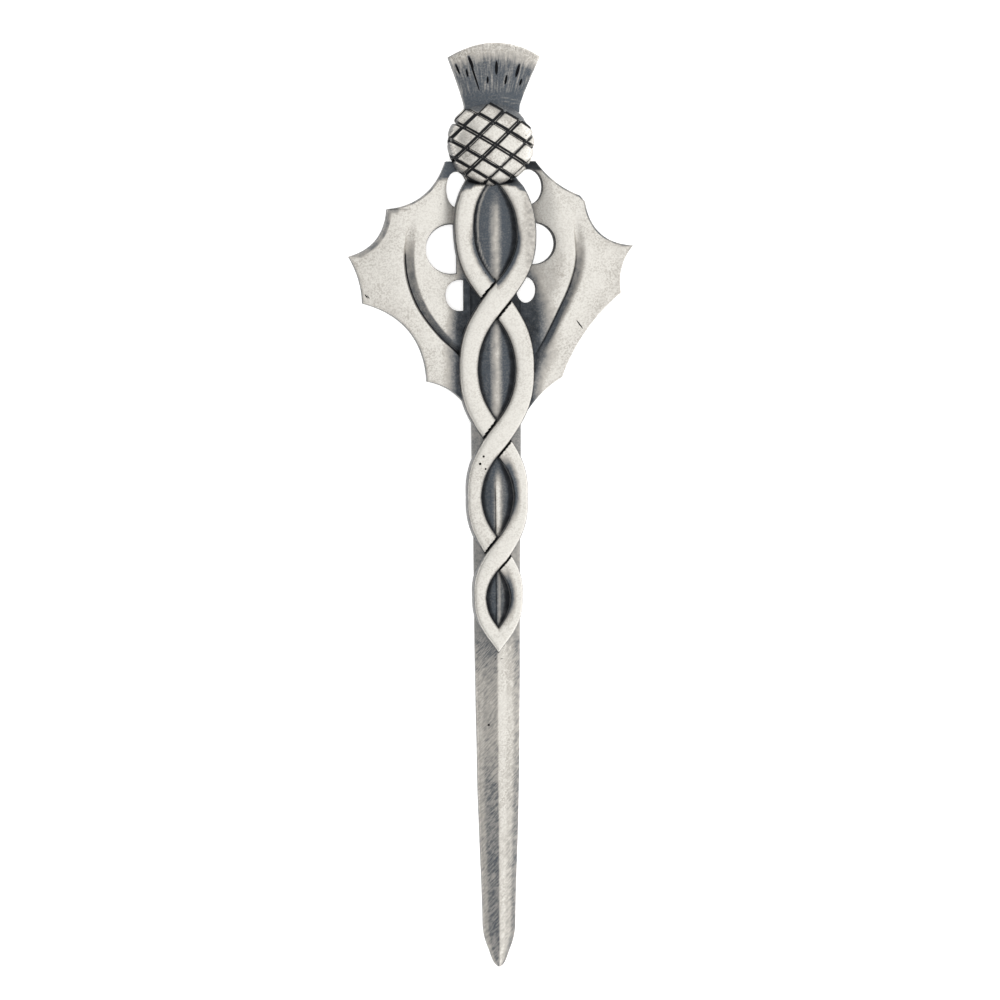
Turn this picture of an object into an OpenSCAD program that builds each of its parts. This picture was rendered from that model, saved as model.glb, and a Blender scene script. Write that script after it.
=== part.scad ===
/* [Blade] */
// Length of the blade, from its point to the foot of the bulb
blade_length = 85; // [80:1:90]
// Width of the blade at its head
blade_head_w = 5.6; // [5.2:0.1:6.2]
// Width of the blade where its point begins
blade_foot_w = 3.5; // [2.8:0.1:4.2]
// Length of the curved point
point_length = 4.8; // [3.5:0.1:8]
// Thickness of the blade at its centre ridge
ridge_t = 2.3; // [2:0.1:2.6]
// Thickness of the blade at its edges
blade_edge_t = 1.3; // [1:0.1:1.6]

/* [Twisted strands] */
// Length of the twist, from the foot of the bulb to the last crossing
twist_length = 49.6; // [46:0.2:54]
// Distance from the axis to the middle of a strand, in the widest loop
twist_spread = 3.4; // [3.1:0.1:3.7]
// Width of a strand in the widest loop
strand_w = 2.15; // [1.8:0.05:2.4]
// Height of a strand over the flat back
strand_t = 3.1; // [2.9:0.1:3.4]
// How far a strand rises where it crosses over, and dips where it dives under
crossing_lift = 0.45; // [0.3:0.05:0.6]

/* [Leaves] */
// Height of the leaves, from foot to neck along the blade
leaf_height = 27.1; // [24:0.1:29]
// How far the neck of the leaves rises past the foot of the bulb
leaf_rise = 2.2; // [1.6:0.1:2.8]
// Distance from the axis to the tip of the left leaf
left_leaf_span = 15.9; // [14:0.1:17.5]
// Distance from the axis to the tip of the right leaf
right_leaf_span = 15; // [13.5:0.1:16.5]
// Thickness of a leaf at the crest of its lobes
leaf_t = 2.2; // [1.9:0.1:2.5]
// Thickness of a leaf at its outer rim
leaf_rim_t = 1.6; // [1.3:0.1:1.9]
// Depth of the valley between a leaf's two lobes
valley_depth = 0.6; // [0.4:0.1:1]
// Width of the gentle slope on the one side of the valley
valley_slope_w = 1; // [0.8:0.1:1.4]

/* [Thistle] */
// Diameter of the bulb
bulb_d = 9.5; // [8.8:0.1:10]
// Height of the bulb over the flat back
bulb_t = 4.8; // [4.2:0.1:5.4]
// Depth of the grooves between the bulb's scales
groove_depth = 0.35; // [0.25:0.05:0.45]
// Height of the bulb's upright side, below its dome
bulb_side_t = 1.7; // [1.2:0.1:2]
// Height of the crown, from the bulb's top to the middle of its rim
crown_height = 6.85; // [5.8:0.05:8.4]
// Width of the crown at its rim
crown_rim_w = 9.95; // [8.5:0.05:11]
// Width of the crown at its neck
crown_neck_w = 5.95; // [5.2:0.05:6.8]
// Thickness of the crown at its rim
crown_rim_t = 3.2; // [2.8:0.1:3.6]
// Thickness of the crown at its neck
crown_neck_t = 2.6; // [2.2:0.1:3]
// Rise of the crown's rim from its corners to its middle
crown_arc_rise = 1.5; // [0.8:0.1:2]
// How far the bulb leans to the left of the blade's axis
head_lean = 0.42; // [0:0.02:0.6]

/* [Brooch pin on the back] */
// Height of the casting's flat back over the surface that it lies on
back_height = 6.25; // [6.2:0.05:7.5]
// Diameter of the stem
stem_d = 1.2; // [1:0.1:1.4]
// Distance between the middle of the hinge block and the middle of the catch
stem_span = 48; // [44:1:52]
// Distance from the foot of the bulb down to the middle of the hinge block
hinge_drop = 3.4; // [3:0.2:8]
// Width of the hinge block across the blade
hinge_w = 4.6; // [4:0.1:5]
// Length of the hinge block along the blade
hinge_l = 5; // [4:0.2:6]
// Width of the catch across the blade
catch_w = 3.6; // [3.2:0.1:4]
// Length of the catch along the blade
catch_l = 3.4; // [2.6:0.2:4.4]
// Thickness of the sheet in the hinge block and the catch
sheet_t = 0.8; // [0.7:0.05:0.9]
// Length of the stem past the middle of the catch, with its point
stem_past_catch = 5.2; // [4.6:0.2:7]
// Length of the stem's point
stem_point_l = 3; // [2:0.2:4]

/* [Hidden] */
// Gap between the back of the casting and what sits on it
seat_gap = 0.05;
// Thickness of the crown at its two side edges
edge_t = 1.6;
// The bulb sinks this far over the foot of the crown, and this far over the blade's head
crown_overlap = 0.8;
blade_overlap = 0.55;
// Cutting bodies stand this far clear of what they cut
clear_by = 1;
// Sides of the round holes, of the bulb and of the parts of the brooch pin
hole_sides = 28;
bulb_sides = 36;
rod_sides = 32;

bulb_r = bulb_d / 2;
bulb_y = blade_length + bulb_r - blade_overlap;
crown_foot_y = bulb_y + bulb_r - crown_overlap;
crown_corner_y = crown_foot_y + crown_height - crown_arc_rise;
total_length = crown_corner_y + crown_arc_rise;
leaf_neck_y = blade_length + leaf_rise;
leaf_foot_y = leaf_neck_y - leaf_height;
twist_top_y = blade_length;
hinge_y = blade_length - hinge_drop;
catch_y = hinge_y - stem_span;
stem_r = stem_d / 2;
// The stem beds this far into the floor of the catch, and ends in a tip of this radius
stem_bed = 0.1;
stem_tip_r = 0.1;
stem_z = sheet_t + stem_r - stem_bed;
// The frame's origin is under the middle of the whole width and length
axis_shift = (left_leaf_span - right_leaf_span) / 2;

// The lean begins at this share of the leaves' height
lean_from = 0.62;

// Blade, from head to point: place along the blade, share of its taper, ridge as a share,
// and the bend of each slope: under 1 is rounded, over 1 is hollow
B_PLACE = 0;
B_WIDTH = 1;
B_RIDGE = 2;
B_BEND = 3;
BLADE = [
    [1.02, 1.00, 0.86, 0.60],
    [0.90, 1.00, 0.86, 0.50],
    [0.80, 0.93, 0.86, 0.50],
    [0.65, 0.86, 0.86, 0.60],
    [0.50, 0.71, 0.90, 1.00],
    [0.38, 0.65, 1.00, 1.15],
    [0.27, 0.55, 1.00, 1.15],
    [0.16, 0.39, 1.00, 1.15],
    [0.00, 0.00, 1.00, 1.15],
];
// The curved point is drawn in this many rows, and its tip is cut off at this angle of the curve
point_rows = 6;
point_cut = 85;
// Power of the point's curve, 2 is a parabola
point_power = 2;
// Across the blade: place of each point as a share of the half width
BLADE_ACROSS = [-1, -0.84, -0.5, -0.2, 0, 0.2, 0.5, 0.84, 1];

// Loops of the twist, from the bulb down: ends of the loop as shares of the twist,
// distance of the strands from the axis, and their width in and below the loop
L_TOP = 0;
L_END = 1;
L_SPREAD = 2;
L_WIDTH = 3;
L_WIDTH_END = 4;
LOOPS = [
    [0.00, 0.257, 1.00, 0.97, 1.18],
    [0.257, 0.562, 0.895, 0.94, 1.12],
    [0.562, 0.813, 0.74, 0.70, 1.06],
    [0.813, 1.00, 0.58, 0.62, 0.80],
];
// The strands start this far into the wave of the first loop
loop_start = 0.14;
// The loops are fuller than a plain wave by this share of its third harmonic
loop_fullness = 0.05;
steps_per_loop = 12;
// The strands begin this many steps above the first loop, inside the bulb
lead_steps = 1;
// The strands run this many steps past the last crossing, to where they are mitred
mitre_steps = 2;
// Facets over a strand's top, its height as a share of the strand's width, and the power that
// flattens it: 1 is a round top
strand_facets = 8;
strand_round = 0.42;
strand_flat = 0.5;

// Leaf outlines from foot to neck: distance from the axis as a share of the span,
// height as a share of the leaf, and the hollow of the arc to the next point
C_OUT = 0;
C_UP = 1;
C_HOLLOW = 2;
LEFT_CUSPS = [
    [0.18, 0.000, 0.12],
    [0.47, 0.122, 0.182],
    [0.906, 0.435, 0.066],
    [1.00, 0.623, 0.180],
    [0.737, 0.811, 0.165],
    [0.335, 1.00, 0],
];
RIGHT_CUSPS = [
    [0.22, 0.000, 0.06],
    [0.477, 0.137, 0],
    [0.497, 0.168, 0.062],
    [0.909, 0.473, 0.115],
    [1.00, 0.662, 0.205],
    [0.649, 0.838, 0],
    [0.612, 0.862, 0.078],
    [0.295, 1.00, 0],
];
arc_steps = 7;
// Holes of a leaf: middle and half sizes, as shares of the span and of the leaf's height,
// and the straight side that a hole ends at, as a share of the span
H_OUT = 0;
H_UP = 1;
H_HALF_W = 2;
H_HALF_H = 3;
H_SIDE = 4;
LEFT_HOLES = [
    [0.258, 0.890, 0.071, 0.070, 0],
    [0.298, 0.651, 0.169, 0.098, 0.262],
    [0.238, 0.466, 0.100, 0.062, 0.215],
];
RIGHT_HOLES = [
    [0.244, 0.898, 0.099, 0.070, 0],
    [0.278, 0.672, 0.151, 0.082, 0.16],
    [0.224, 0.487, 0.070, 0.051, 0],
];
// Valley of a leaf from neck to foot: height as a share of the leaf, distance from the
// axis as a share of the span, and depth as a share
V_PLACE = 0;
V_OUT = 1;
V_DEPTH = 2;
LEFT_VALLEY = [
    [1.03, 0.52, 0],
    [0.90, 0.545, 0],
    [0.80, 0.575, 0],
    [0.70, 0.602, 0.35],
    [0.60, 0.613, 1],
    [0.50, 0.585, 1],
    [0.40, 0.511, 1],
    [0.30, 0.38, 1],
    [0.20, 0.21, 0.8],
    [0.10, 0.185, 0.5],
    [-0.04, 0.18, 0.3],
];
RIGHT_VALLEY = [
    [1.03, 0.47, 0],
    [0.90, 0.515, 0],
    [0.80, 0.56, 0],
    [0.70, 0.582, 0.4],
    [0.60, 0.587, 0.8],
    [0.50, 0.538, 1],
    [0.40, 0.455, 1],
    [0.30, 0.365, 1],
    [0.20, 0.27, 0.8],
    [0.10, 0.21, 0.5],
    [-0.04, 0.20, 0.3],
];
// The steep wall of the valley, on its outer side in the left leaf and its inner in the right,
// is this wide
valley_wall_w = 0.3;
// The leaves sink to this thickness under the strands
leaf_root_t = 1.2;
// Inner lobe of a leaf, from the axis: place as a share of the lobe, and rise from the
// thickness under the strands to the lobe's crest
I_PLACE = 0;
I_RISE = 1;
INNER_LOBE = [
    [0, 0],
    [0.45, 0],
    [0.62, 0.45],
    [0.8, 0.88],
    [1, 1],
];
// Outer lobe, from the valley: place as a share of the lobe, and fall from the crest to the rim
O_PLACE = 0;
O_FALL = 1;
OUTER_LOBE = [
    [0.35, 0],
    [0.7, 0.5],
    [1, 1],
];
// Share of the valley's depth that is left at the inner end of the outer lobe
valley_lip = 0.4;
// The sheet of a leaf runs past its tip by this factor
sheet_margin = 1.04;
// Rows of a sheet for each row of its table
sheet_steps = 2;

// Slope of the bulb's two families of grooves, and the angles that each family's grooves lie at,
// from past one side of the bulb to past the other
GROOVE_SLOPES = [31, -44];
GROOVE_ANGLES = [
    [-98, -75, -50, -26, -2, 24, 50, 78],
    [-76, -47, -19, 5, 34, 66, 90],
];
// Size of a scale's face and of its foot, as shares of its cell
scale_face = 0.8;
scale_foot = 0.94;
// The foot of a scale lies this many groove depths under its face
scale_root = 1.6;
// A scale is made where this share of the way to its middle faces the front
scale_facing = 0.8;
// Engraved slits of the crown, each with its lower and its upper end: place across as a share of
// the half width and place up as a share of the crown's height; and its width as a share
S_LOW_ACROSS = 0;
S_LOW = 1;
S_HIGH_ACROSS = 2;
S_HIGH = 3;
S_WIDTH = 4;
CROWN_SLITS = [
    [-0.90, 0.625, -0.92, 0.805, 0.7],
    [-0.72, 0.525, -0.72, 0.655, 0.7],
    [-0.455, 0.275, -0.61, 0.835, 0.6],
    [-0.55, 0.645, -0.61, 0.845, 1],
    [-0.18, 0.365, -0.18, 0.465, 0.7],
    [0.065, 0.503, 0.05, 0.70, 1],
    [0.345, 0.355, 0.36, 0.495, 0.8],
    [0.615, 0.503, 0.625, 0.715, 1],
    [0.78, 0.38, 0.785, 0.49, 0.8],
];
slit_w = 0.3;
slit_depth = 0.3;
crown_rows = 7;
crown_flutes = 12;
flute_depth = 0.1;
// Power of the crown's flare from neck to rim, 1 is a straight flare
crown_flare = 1.15;

// Smooth curve through the rows of a table, at t counted in rows
function smooth_row(rows, t) =
    let (
        last = len(rows) - 1,
        i = min(floor(t), last - 1),
        f = t - i,
        a = rows[max(i - 1, 0)],
        b = rows[i],
        c = rows[i + 1],
        d = rows[min(i + 2, last)]
    )
    b + f * (c - a) / 2 + f * f * (2 * a - 5 * b + 4 * c - d) / 2
    + f * f * f * (3 * b - a - 3 * c + d) / 2;

function smooth_rows(rows, steps) =
    [for (k = [0 : steps * (len(rows) - 1)]) smooth_row(rows, k / steps)];

// Closed solid under a sheet of front points, with straight walls down to a flat back
module relief(sheet) {
    rows = len(sheet);
    cols = len(sheet[0]);
    front = [for (row = sheet) each row];
    rim = concat(
        [for (c = [0 : cols - 1]) c],
        [for (r = [1 : rows - 1]) r * cols + cols - 1],
        [for (c = [cols - 2 : -1 : 0]) (rows - 1) * cols + c],
        [for (r = [rows - 2 : -1 : 1]) r * cols]
    );
    first = len(front);
    around = len(rim);
    cells = [for (r = [0 : rows - 2]) for (c = [0 : cols - 2]) r * cols + c];
    polyhedron(
        points = concat(front, [for (k = rim) [front[k].x, front[k].y, 0]]),
        faces = concat(
            [for (k = cells) [k, k + 1, k + cols]],
            [for (k = cells) [k + 1, k + cols + 1, k + cols]],
            [
                for (i = [0 : around - 1])
                    let (j = (i + 1) % around)
                    [rim[j], rim[i], first + i, first + j]
            ],
            [[for (i = [around - 1 : -1 : 0]) first + i]]
        )
    );
}

// Sideways shift of the head at a place along the pin, full at the bulb's middle and none
// at the crown's corners
function lean(y) =
    let (
        low = leaf_foot_y + lean_from * leaf_height,
        up = min(max((y - low) / (bulb_y - low), 0), 1),
        back = min(max((y - bulb_y) / (crown_corner_y - bulb_y), 0), 1)
    )
    -head_lean * up * up * (3 - 2 * up) * (1 - back);

// One row of points across the blade
function blade_section(y, half_w, ridge, bend) = [
    for (s = BLADE_ACROSS)
        [s * half_w, y, blade_edge_t + (ridge - blade_edge_t) * pow(1 - abs(s), bend)]
];

// Width of the curved point as a share, with a blunt tip, from 0 at the tip to 1
function point_share(t) = max(sqrt(t), 1 - pow(1 - t, point_power));

// Blade with its panel behind the twist, its hollow-ground slopes and its point
module blade() {
    body_l = blade_length - point_length;
    taper = blade_head_w - blade_foot_w;
    foot_bend = BLADE[len(BLADE) - 1][B_BEND];
    body = [
        for (row = smooth_rows(BLADE, sheet_steps))
            blade_section(
                point_length + body_l * row[B_PLACE],
                (blade_foot_w + taper * row[B_WIDTH]) / 2,
                ridge_t * row[B_RIDGE],
                row[B_BEND]
            )
    ];
    point = [
        for (k = [1 : point_rows])
            let (a = point_cut * k / point_rows)
            blade_section(
                point_length * (1 - sin(a)),
                blade_foot_w / 2 * point_share(1 - sin(a)),
                blade_edge_t + (ridge_t - blade_edge_t) * point_share(1 - sin(a)),
                foot_bend
            )
    ];
    relief(concat(body, point));
}

// Middle of a strand in loop i, at a share f of the loop: [across, along, width, lift]
function strand_at(i, f, side) =
    let (
        loop = LOOPS[i],
        wave = 180 * (i == 0 ? loop_start + (1 - loop_start) * f : f),
        reach = (sin(wave) + loop_fullness * sin(3 * wave)) / (1 - loop_fullness),
        y = twist_top_y - twist_length * (loop[L_TOP] + (loop[L_END] - loop[L_TOP]) * f),
        turn = i % 2 == 0 ? side : -side,
        width_above = i == 0 ? loop[L_WIDTH] : LOOPS[i - 1][L_WIDTH_END],
        width = f < 0.5
            ? width_above + (loop[L_WIDTH] - width_above) * 2 * f
            : loop[L_WIDTH] + (loop[L_WIDTH_END] - loop[L_WIDTH]) * (2 * f - 1)
    )
    [
        turn * twist_spread * loop[L_SPREAD] * reach + lean(y),
        y,
        strand_w * width,
        (i == 0 && f < 0.5) || (i == len(LOOPS) - 1 && f > 0.5) ? 0 : -turn * cos(180 * f)
    ];

// Twisted strand with a flattened top, that starts on one side of the axis, ends on the
// other and is mitred there against its twin
module strand(side) {
    loops = len(LOOPS);
    path = [
        for (i = [0 : loops - 1])
            let (
                from = i == 0 ? -lead_steps : 0,
                to = i < loops - 1 ? steps_per_loop - 1 : steps_per_loop + mitre_steps
            )
            for (k = [from : to])
                strand_at(i, k / steps_per_loop, side)
    ];
    end_side = loops % 2 == 0 ? -side : side;
    end_y = path[len(path) - 1].y;
    end_l = twist_length * (LOOPS[loops - 1][L_END] - LOOPS[loops - 1][L_TOP]) / 2;
    difference() {
        strand_body(path);
        translate([end_side > 0 ? -2 * strand_w : 0, end_y - strand_w, -clear_by])
            cube([2 * strand_w, end_l + strand_w, 2 * strand_t]);
    }
}

module strand_body(path) {
    last = len(path) - 1;
    relief([
        for (k = [0 : last])
            let (
                ahead = path[min(k + 1, last)] - path[max(k - 1, 0)],
                run = norm([ahead.x, ahead.y]),
                across = [-ahead.y, ahead.x] / run,
                half_w = path[k][2] / 2,
                top = strand_t + crossing_lift * path[k][3]
            )
            [
                for (a = [-90 : 180 / strand_facets : 90])
                    [
                        path[k].x + across.x * half_w * sin(a),
                        path[k].y + across.y * half_w * sin(a),
                        top - strand_round * 2 * half_w * (1 - pow(cos(a), strand_flat))
                    ]
            ]
    ]);
}

// Points of the hollow arc from one cusp to the next, without the last
function hollow_arc(from, to, hollow, side) =
    let (chord = to - from, inward = [chord.y, -chord.x] * -side)
    [
        for (k = [0 : arc_steps - 1])
            let (f = k / arc_steps)
            from + chord * f + inward * hollow * 4 * f * (1 - f)
    ];

// Outline of a leaf with its spikes, on one side of the axis
module leaf_outline(cusps, span, side) {
    at = [for (c = cusps) [side * c[C_OUT] * span, leaf_foot_y + c[C_UP] * leaf_height]];
    last = len(cusps) - 1;
    polygon(concat(
        [[0, at[0].y]],
        [for (i = [0 : last - 1]) each hollow_arc(at[i], at[i + 1], cusps[i][C_HOLLOW], side)],
        [at[last], [0, at[last].y]]
    ));
}

module leaf_holes(holes, span, side) {
    for (h = holes)
        intersection() {
            translate([side * h[H_OUT] * span, leaf_foot_y + h[H_UP] * leaf_height])
                scale([h[H_HALF_W] * span, h[H_HALF_H] * leaf_height])
                    circle(r = 1, $fn = hole_sides);
            translate([side > 0 ? h[H_SIDE] * span : -span, leaf_foot_y])
                square([span * (1 - h[H_SIDE]), leaf_height]);
        }
}

// Sheet of the leaf's two lobes and the valley between them
function leaf_sheet(valley, span, side) = [
    for (row = smooth_rows(valley, sheet_steps))
        let (
            y = leaf_foot_y + row[V_PLACE] * leaf_height,
            bottom = row[V_OUT] * span,
            inner = bottom - (side < 0 ? valley_slope_w : valley_wall_w),
            lip = bottom + (side < 0 ? valley_wall_w : valley_slope_w),
            outer = span * sheet_margin - bottom,
            depth = valley_depth * max(0, row[V_DEPTH]),
            clear = min(max((inner - twist_spread) / strand_w, 0), 1),
            crest = leaf_root_t + (leaf_t - leaf_root_t) * clear,
            rise = crest - leaf_root_t,
            fall = leaf_t - leaf_rim_t,
            across = concat(
                [for (p = INNER_LOBE) [inner * p[I_PLACE], leaf_root_t + rise * p[I_RISE]]],
                [[bottom, max(leaf_t - depth, leaf_root_t)]],
                [[lip, leaf_t - depth * valley_lip]],
                [for (p = OUTER_LOBE) [bottom + outer * p[O_PLACE], leaf_t - fall * p[O_FALL]]]
            )
        )
        side > 0
            ? [for (k = [0 : len(across) - 1]) [across[k].x, y, across[k].y]]
            : [for (k = [len(across) - 1 : -1 : 0]) [-across[k].x, y, across[k].y]]
];

module leaf(cusps, holes, valley, span, side) {
    difference() {
        intersection() {
            relief(leaf_sheet(valley, span, side));
            linear_extrude(height = leaf_t + clear_by) leaf_outline(cusps, span, side);
        }
        translate([0, 0, -clear_by])
            linear_extrude(height = leaf_t + 2 * clear_by) leaf_holes(holes, span, side);
    }
}

// Place on the unit sphere whose angles from the two families of grooves are a and b
function lattice_point(a, b) =
    let (
        n = [for (slope = GROOVE_SLOPES) [sin(abs(slope)), sign(slope) * cos(slope)]],
        da = sin(a),
        db = sin(b),
        det = n[0].x * n[1].y - n[0].y * n[1].x,
        x = (da * n[1].y - db * n[0].y) / det,
        y = (n[0].x * db - n[1].x * da) / det,
        far = norm([x, y])
    )
    far < 1 ? [x, y, sqrt(1 - far * far)] : [x / far, y / far, 0];

// Scale of the bulb: a diamond with sloped walls and a slightly crowned face, with its middle
// and its half sizes as angles
module bulb_scale(a, b, half_a, half_b) {
    corners = [[-half_a, -half_b], [half_a, -half_b], [half_a, half_b], [-half_a, half_b]];
    face = [for (c = corners) lattice_point(a + c.x * scale_face, b + c.y * scale_face)];
    foot = [
        for (c = corners)
            lattice_point(a + c.x * scale_foot, b + c.y * scale_foot)
                * (1 - scale_root * groove_depth / bulb_r)
    ];
    hull()
        polyhedron(
            points = concat(face, foot, [lattice_point(a, b)]),
            faces = concat(
                [[0, 1, 2, 3], [7, 6, 5, 4], [0, 1, 8]],
                [for (k = [0 : 3]) let (next = (k + 1) % 4) [k, next, next + 4, k + 4]]
            )
        );
}

// Round bulb of the thistle with its raised scales, a dome on an upright side
module bulb() {
    core = 1 - groove_depth / bulb_r;
    down = GROOVE_ANGLES[0];
    up = GROOVE_ANGLES[1];
    translate([lean(bulb_y), bulb_y, 0]) {
        translate([0, 0, bulb_side_t])
            intersection() {
                scale([bulb_r, bulb_r, bulb_t - bulb_side_t]) {
                    sphere(r = core, $fn = bulb_sides);
                    for (i = [0 : len(down) - 2])
                        for (j = [0 : len(up) - 2]) {
                            a = (down[i] + down[i + 1]) / 2;
                            b = (up[j] + up[j + 1]) / 2;
                            if (lattice_point(a * scale_facing, b * scale_facing).z > 0)
                                bulb_scale(a, b, down[i + 1] - a, up[j + 1] - b);
                        }
                }
                translate([-bulb_d, -bulb_d, -groove_depth])
                    cube([2 * bulb_d, 2 * bulb_d, 2 * bulb_t]);
            }
        cylinder(r = bulb_r - groove_depth / 2, h = bulb_side_t + groove_depth / 2, $fn = bulb_sides);
    }
}

// Point on the front of the crown: v runs from neck to rim, u across it in degrees
function crown_point(v, u) =
    let (
        half_w = (crown_neck_w + (crown_rim_w - crown_neck_w) * pow(v, crown_flare)) / 2,
        top = crown_neck_t + (crown_rim_t - crown_neck_t) * v,
        y = crown_foot_y + (crown_corner_y - crown_foot_y) * v,
        rise = crown_arc_rise * v * (1 - pow(sin(u), 2)),
        flute = flute_depth * v * (1 + cos(2 * crown_flutes * u)) / 2
    )
    [
        half_w * sin(u) + lean(y),
        y + rise,
        edge_t + (top - edge_t) * cos(u) - flute
    ];

// Flared crown of the thistle with its flutes
module crown() {
    step = 90 / crown_flutes;
    relief([
        for (r = [crown_rows : -1 : 0])
            [for (u = [-90 : step : 90]) crown_point(r / crown_rows, u)]
    ]);
}

// Engraved slit in the front of the crown, from its lower to its upper end
module crown_slit(slit) {
    from = crown_point(slit[S_LOW], asin(slit[S_LOW_ACROSS]));
    to = crown_point(slit[S_HIGH], asin(slit[S_HIGH_ACROSS]));
    run = to - from;
    width = slit_w * slit[S_WIDTH];
    translate(from)
        rotate([0, acos(run.z / norm(run)), atan2(run.y, run.x)])
            translate([-slit_depth / 2, -width / 2, 0])
                cube([slit_depth, width, norm(run)]);
}

// Whole front of the pin, one piece of cast metal with a flat back
module casting() {
    color("silver")
        translate([axis_shift, -total_length / 2, back_height]) {
            difference() {
                blade();
                translate([0, 0, -clear_by])
                    linear_extrude(height = ridge_t + 2 * clear_by)
                        leaf_holes(RIGHT_HOLES, right_leaf_span, 1);
            }
            for (side = [-1, 1])
                strand(side);
            leaf(LEFT_CUSPS, LEFT_HOLES, LEFT_VALLEY, left_leaf_span, -1);
            leaf(RIGHT_CUSPS, RIGHT_HOLES, RIGHT_VALLEY, right_leaf_span, 1);
            bulb();
            difference() {
                crown();
                for (slit = CROWN_SLITS)
                    crown_slit(slit);
            }
        }
}

// Block that the stem turns in on the real thing: a pad, two ears and the stem's knuckle
module hinge_block() {
    top = back_height - seat_gap;
    knuckle_r = stem_r + sheet_t / 2;
    translate([0, hinge_y, 0]) {
        translate([-hinge_w / 2, -hinge_l / 2, top - sheet_t])
            cube([hinge_w, hinge_l, sheet_t]);
        for (side = [-1, 1])
            translate([side * (hinge_w - sheet_t) / 2 - sheet_t / 2, -hinge_l / 2, 0])
                cube([sheet_t, hinge_l, top - sheet_t]);
        translate([-hinge_w / 2 + sheet_t, 0, stem_z])
            rotate([0, 90, 0])
                cylinder(r = knuckle_r, h = hinge_w - 2 * sheet_t, $fn = rod_sides);
    }
}

// Catch that holds the stem's end: a pad, a wall, a floor and a lip
module catch() {
    top = back_height - seat_gap;
    lip_h = stem_z + stem_r;
    translate([0, catch_y - catch_l / 2, 0]) {
        translate([-catch_w / 2, 0, top - sheet_t])
            cube([catch_w, catch_l, sheet_t]);
        translate([-catch_w / 2, 0, 0])
            cube([sheet_t, catch_l, top - sheet_t]);
        translate([-catch_w / 2 + sheet_t, 0, 0])
            cube([catch_w - sheet_t, catch_l, sheet_t]);
        translate([catch_w / 2 - sheet_t, 0, sheet_t])
            cube([sheet_t, catch_l, lip_h - sheet_t]);
    }
}

// Straight stem that goes through the cloth, with its point
module stem() {
    round_l = stem_span + stem_past_catch - stem_point_l;
    translate([0, hinge_y, stem_z])
        rotate([90, 0, 0]) {
            cylinder(r = stem_r, h = round_l, $fn = rod_sides);
            translate([0, 0, round_l])
                cylinder(r1 = stem_r, r2 = stem_tip_r, h = stem_point_l, $fn = rod_sides);
        }
}

// Fastening on the back, one plain piece
module brooch_pin() {
    color("gainsboro")
        translate([axis_shift, -total_length / 2, 0]) {
            hinge_block();
            stem();
            catch();
        }
}

casting();
brooch_pin();
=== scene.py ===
import math
from collections import namedtuple

import bmesh
import bpy
from bpy.props import FloatProperty, FloatVectorProperty, PointerProperty
from mathutils import Matrix, Vector, noise
from mathutils.bvhtree import BVHTree


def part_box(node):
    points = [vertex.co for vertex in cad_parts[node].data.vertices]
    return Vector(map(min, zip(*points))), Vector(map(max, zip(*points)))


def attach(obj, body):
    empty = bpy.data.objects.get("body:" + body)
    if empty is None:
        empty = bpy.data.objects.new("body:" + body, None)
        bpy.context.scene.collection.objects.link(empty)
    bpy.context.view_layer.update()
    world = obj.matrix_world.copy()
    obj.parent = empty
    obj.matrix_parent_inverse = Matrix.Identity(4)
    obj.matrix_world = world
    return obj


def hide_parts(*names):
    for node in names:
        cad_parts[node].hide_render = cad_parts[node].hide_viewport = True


bl_info = {
    "name": "Kilt pin",
    "version": (1, 0, 0),
    "blender": (4, 5, 0),
    "location": "View3D > Sidebar > Kilt pin",
    "description": "Models and finishes a thistle kilt pin around its solids",
    "category": "Add Mesh",
}

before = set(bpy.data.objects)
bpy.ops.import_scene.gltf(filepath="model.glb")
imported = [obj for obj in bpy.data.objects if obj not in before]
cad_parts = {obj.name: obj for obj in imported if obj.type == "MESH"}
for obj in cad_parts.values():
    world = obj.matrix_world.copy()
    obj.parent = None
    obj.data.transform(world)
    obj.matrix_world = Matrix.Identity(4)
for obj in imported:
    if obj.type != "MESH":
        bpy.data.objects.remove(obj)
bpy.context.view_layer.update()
CAST_LOW, CAST_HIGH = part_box("casting")

MM = 0.001
LEFT = -1
RIGHT = 1

# Farther than any distance on the pin, and how near an edge has to be to count
FAR = 1.0
NEAR = 3 * MM

# Overlaps of the head's pieces: the bulb over the blade's end and the crown's foot inside the bulb
BULB_OVERLAP = 0.55 * MM
CROWN_OVERLAP = 0.8 * MM

# Place up the leaves, as a share of their height, from which the head leans
LEAN_START = 0.62

# How far a face's normal may rise where the face still counts as an upright wall
UPRIGHT = 0.2

# Angle over which an edge of the casting is shaded sharp
SHARP_EDGE = math.radians(38)

# Loops of the twist, from the bulb down: ends of the loop as shares of the twist, distance of the
# strands from the axis, and their width in and below the loop
LOOP_TOP, LOOP_END, LOOP_SPREAD, LOOP_WIDTH, LOOP_WIDTH_END = range(5)
LOOPS = [
    (0.0, 0.257, 1.0, 0.97, 1.18),
    (0.257, 0.562, 0.895, 0.94, 1.12),
    (0.562, 0.813, 0.74, 0.7, 1.06),
    (0.813, 1.0, 0.58, 0.62, 0.8),
]

# Wave of a strand: how far along its half wave the first loop starts, under the bulb, and how much
# flatter than a sine it is
FIRST_WAVE = 0.14
FLAT_WAVE = 0.05

# Blade from its head to its point: place along the body, share of its taper, ridge as a share, and
# the bend of each slope: under 1 is rounded, over 1 is hollow
BLADE = [
    (1.04, 1.0, 0.86, 0.6),
    (0.9, 1.0, 0.86, 0.5),
    (0.8, 0.93, 0.86, 0.5),
    (0.65, 0.86, 0.86, 0.6),
    (0.5, 0.71, 0.9, 1.0),
    (0.38, 0.65, 1.0, 1.15),
    (0.27, 0.55, 1.0, 1.15),
    (0.16, 0.39, 1.0, 1.15),
    (0.0, 0.0, 1.0, 1.15),
]

# Place along the blade's point at which its end is blunt, as a share of the point's length
BLUNT_POINT = 0.0036

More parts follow.
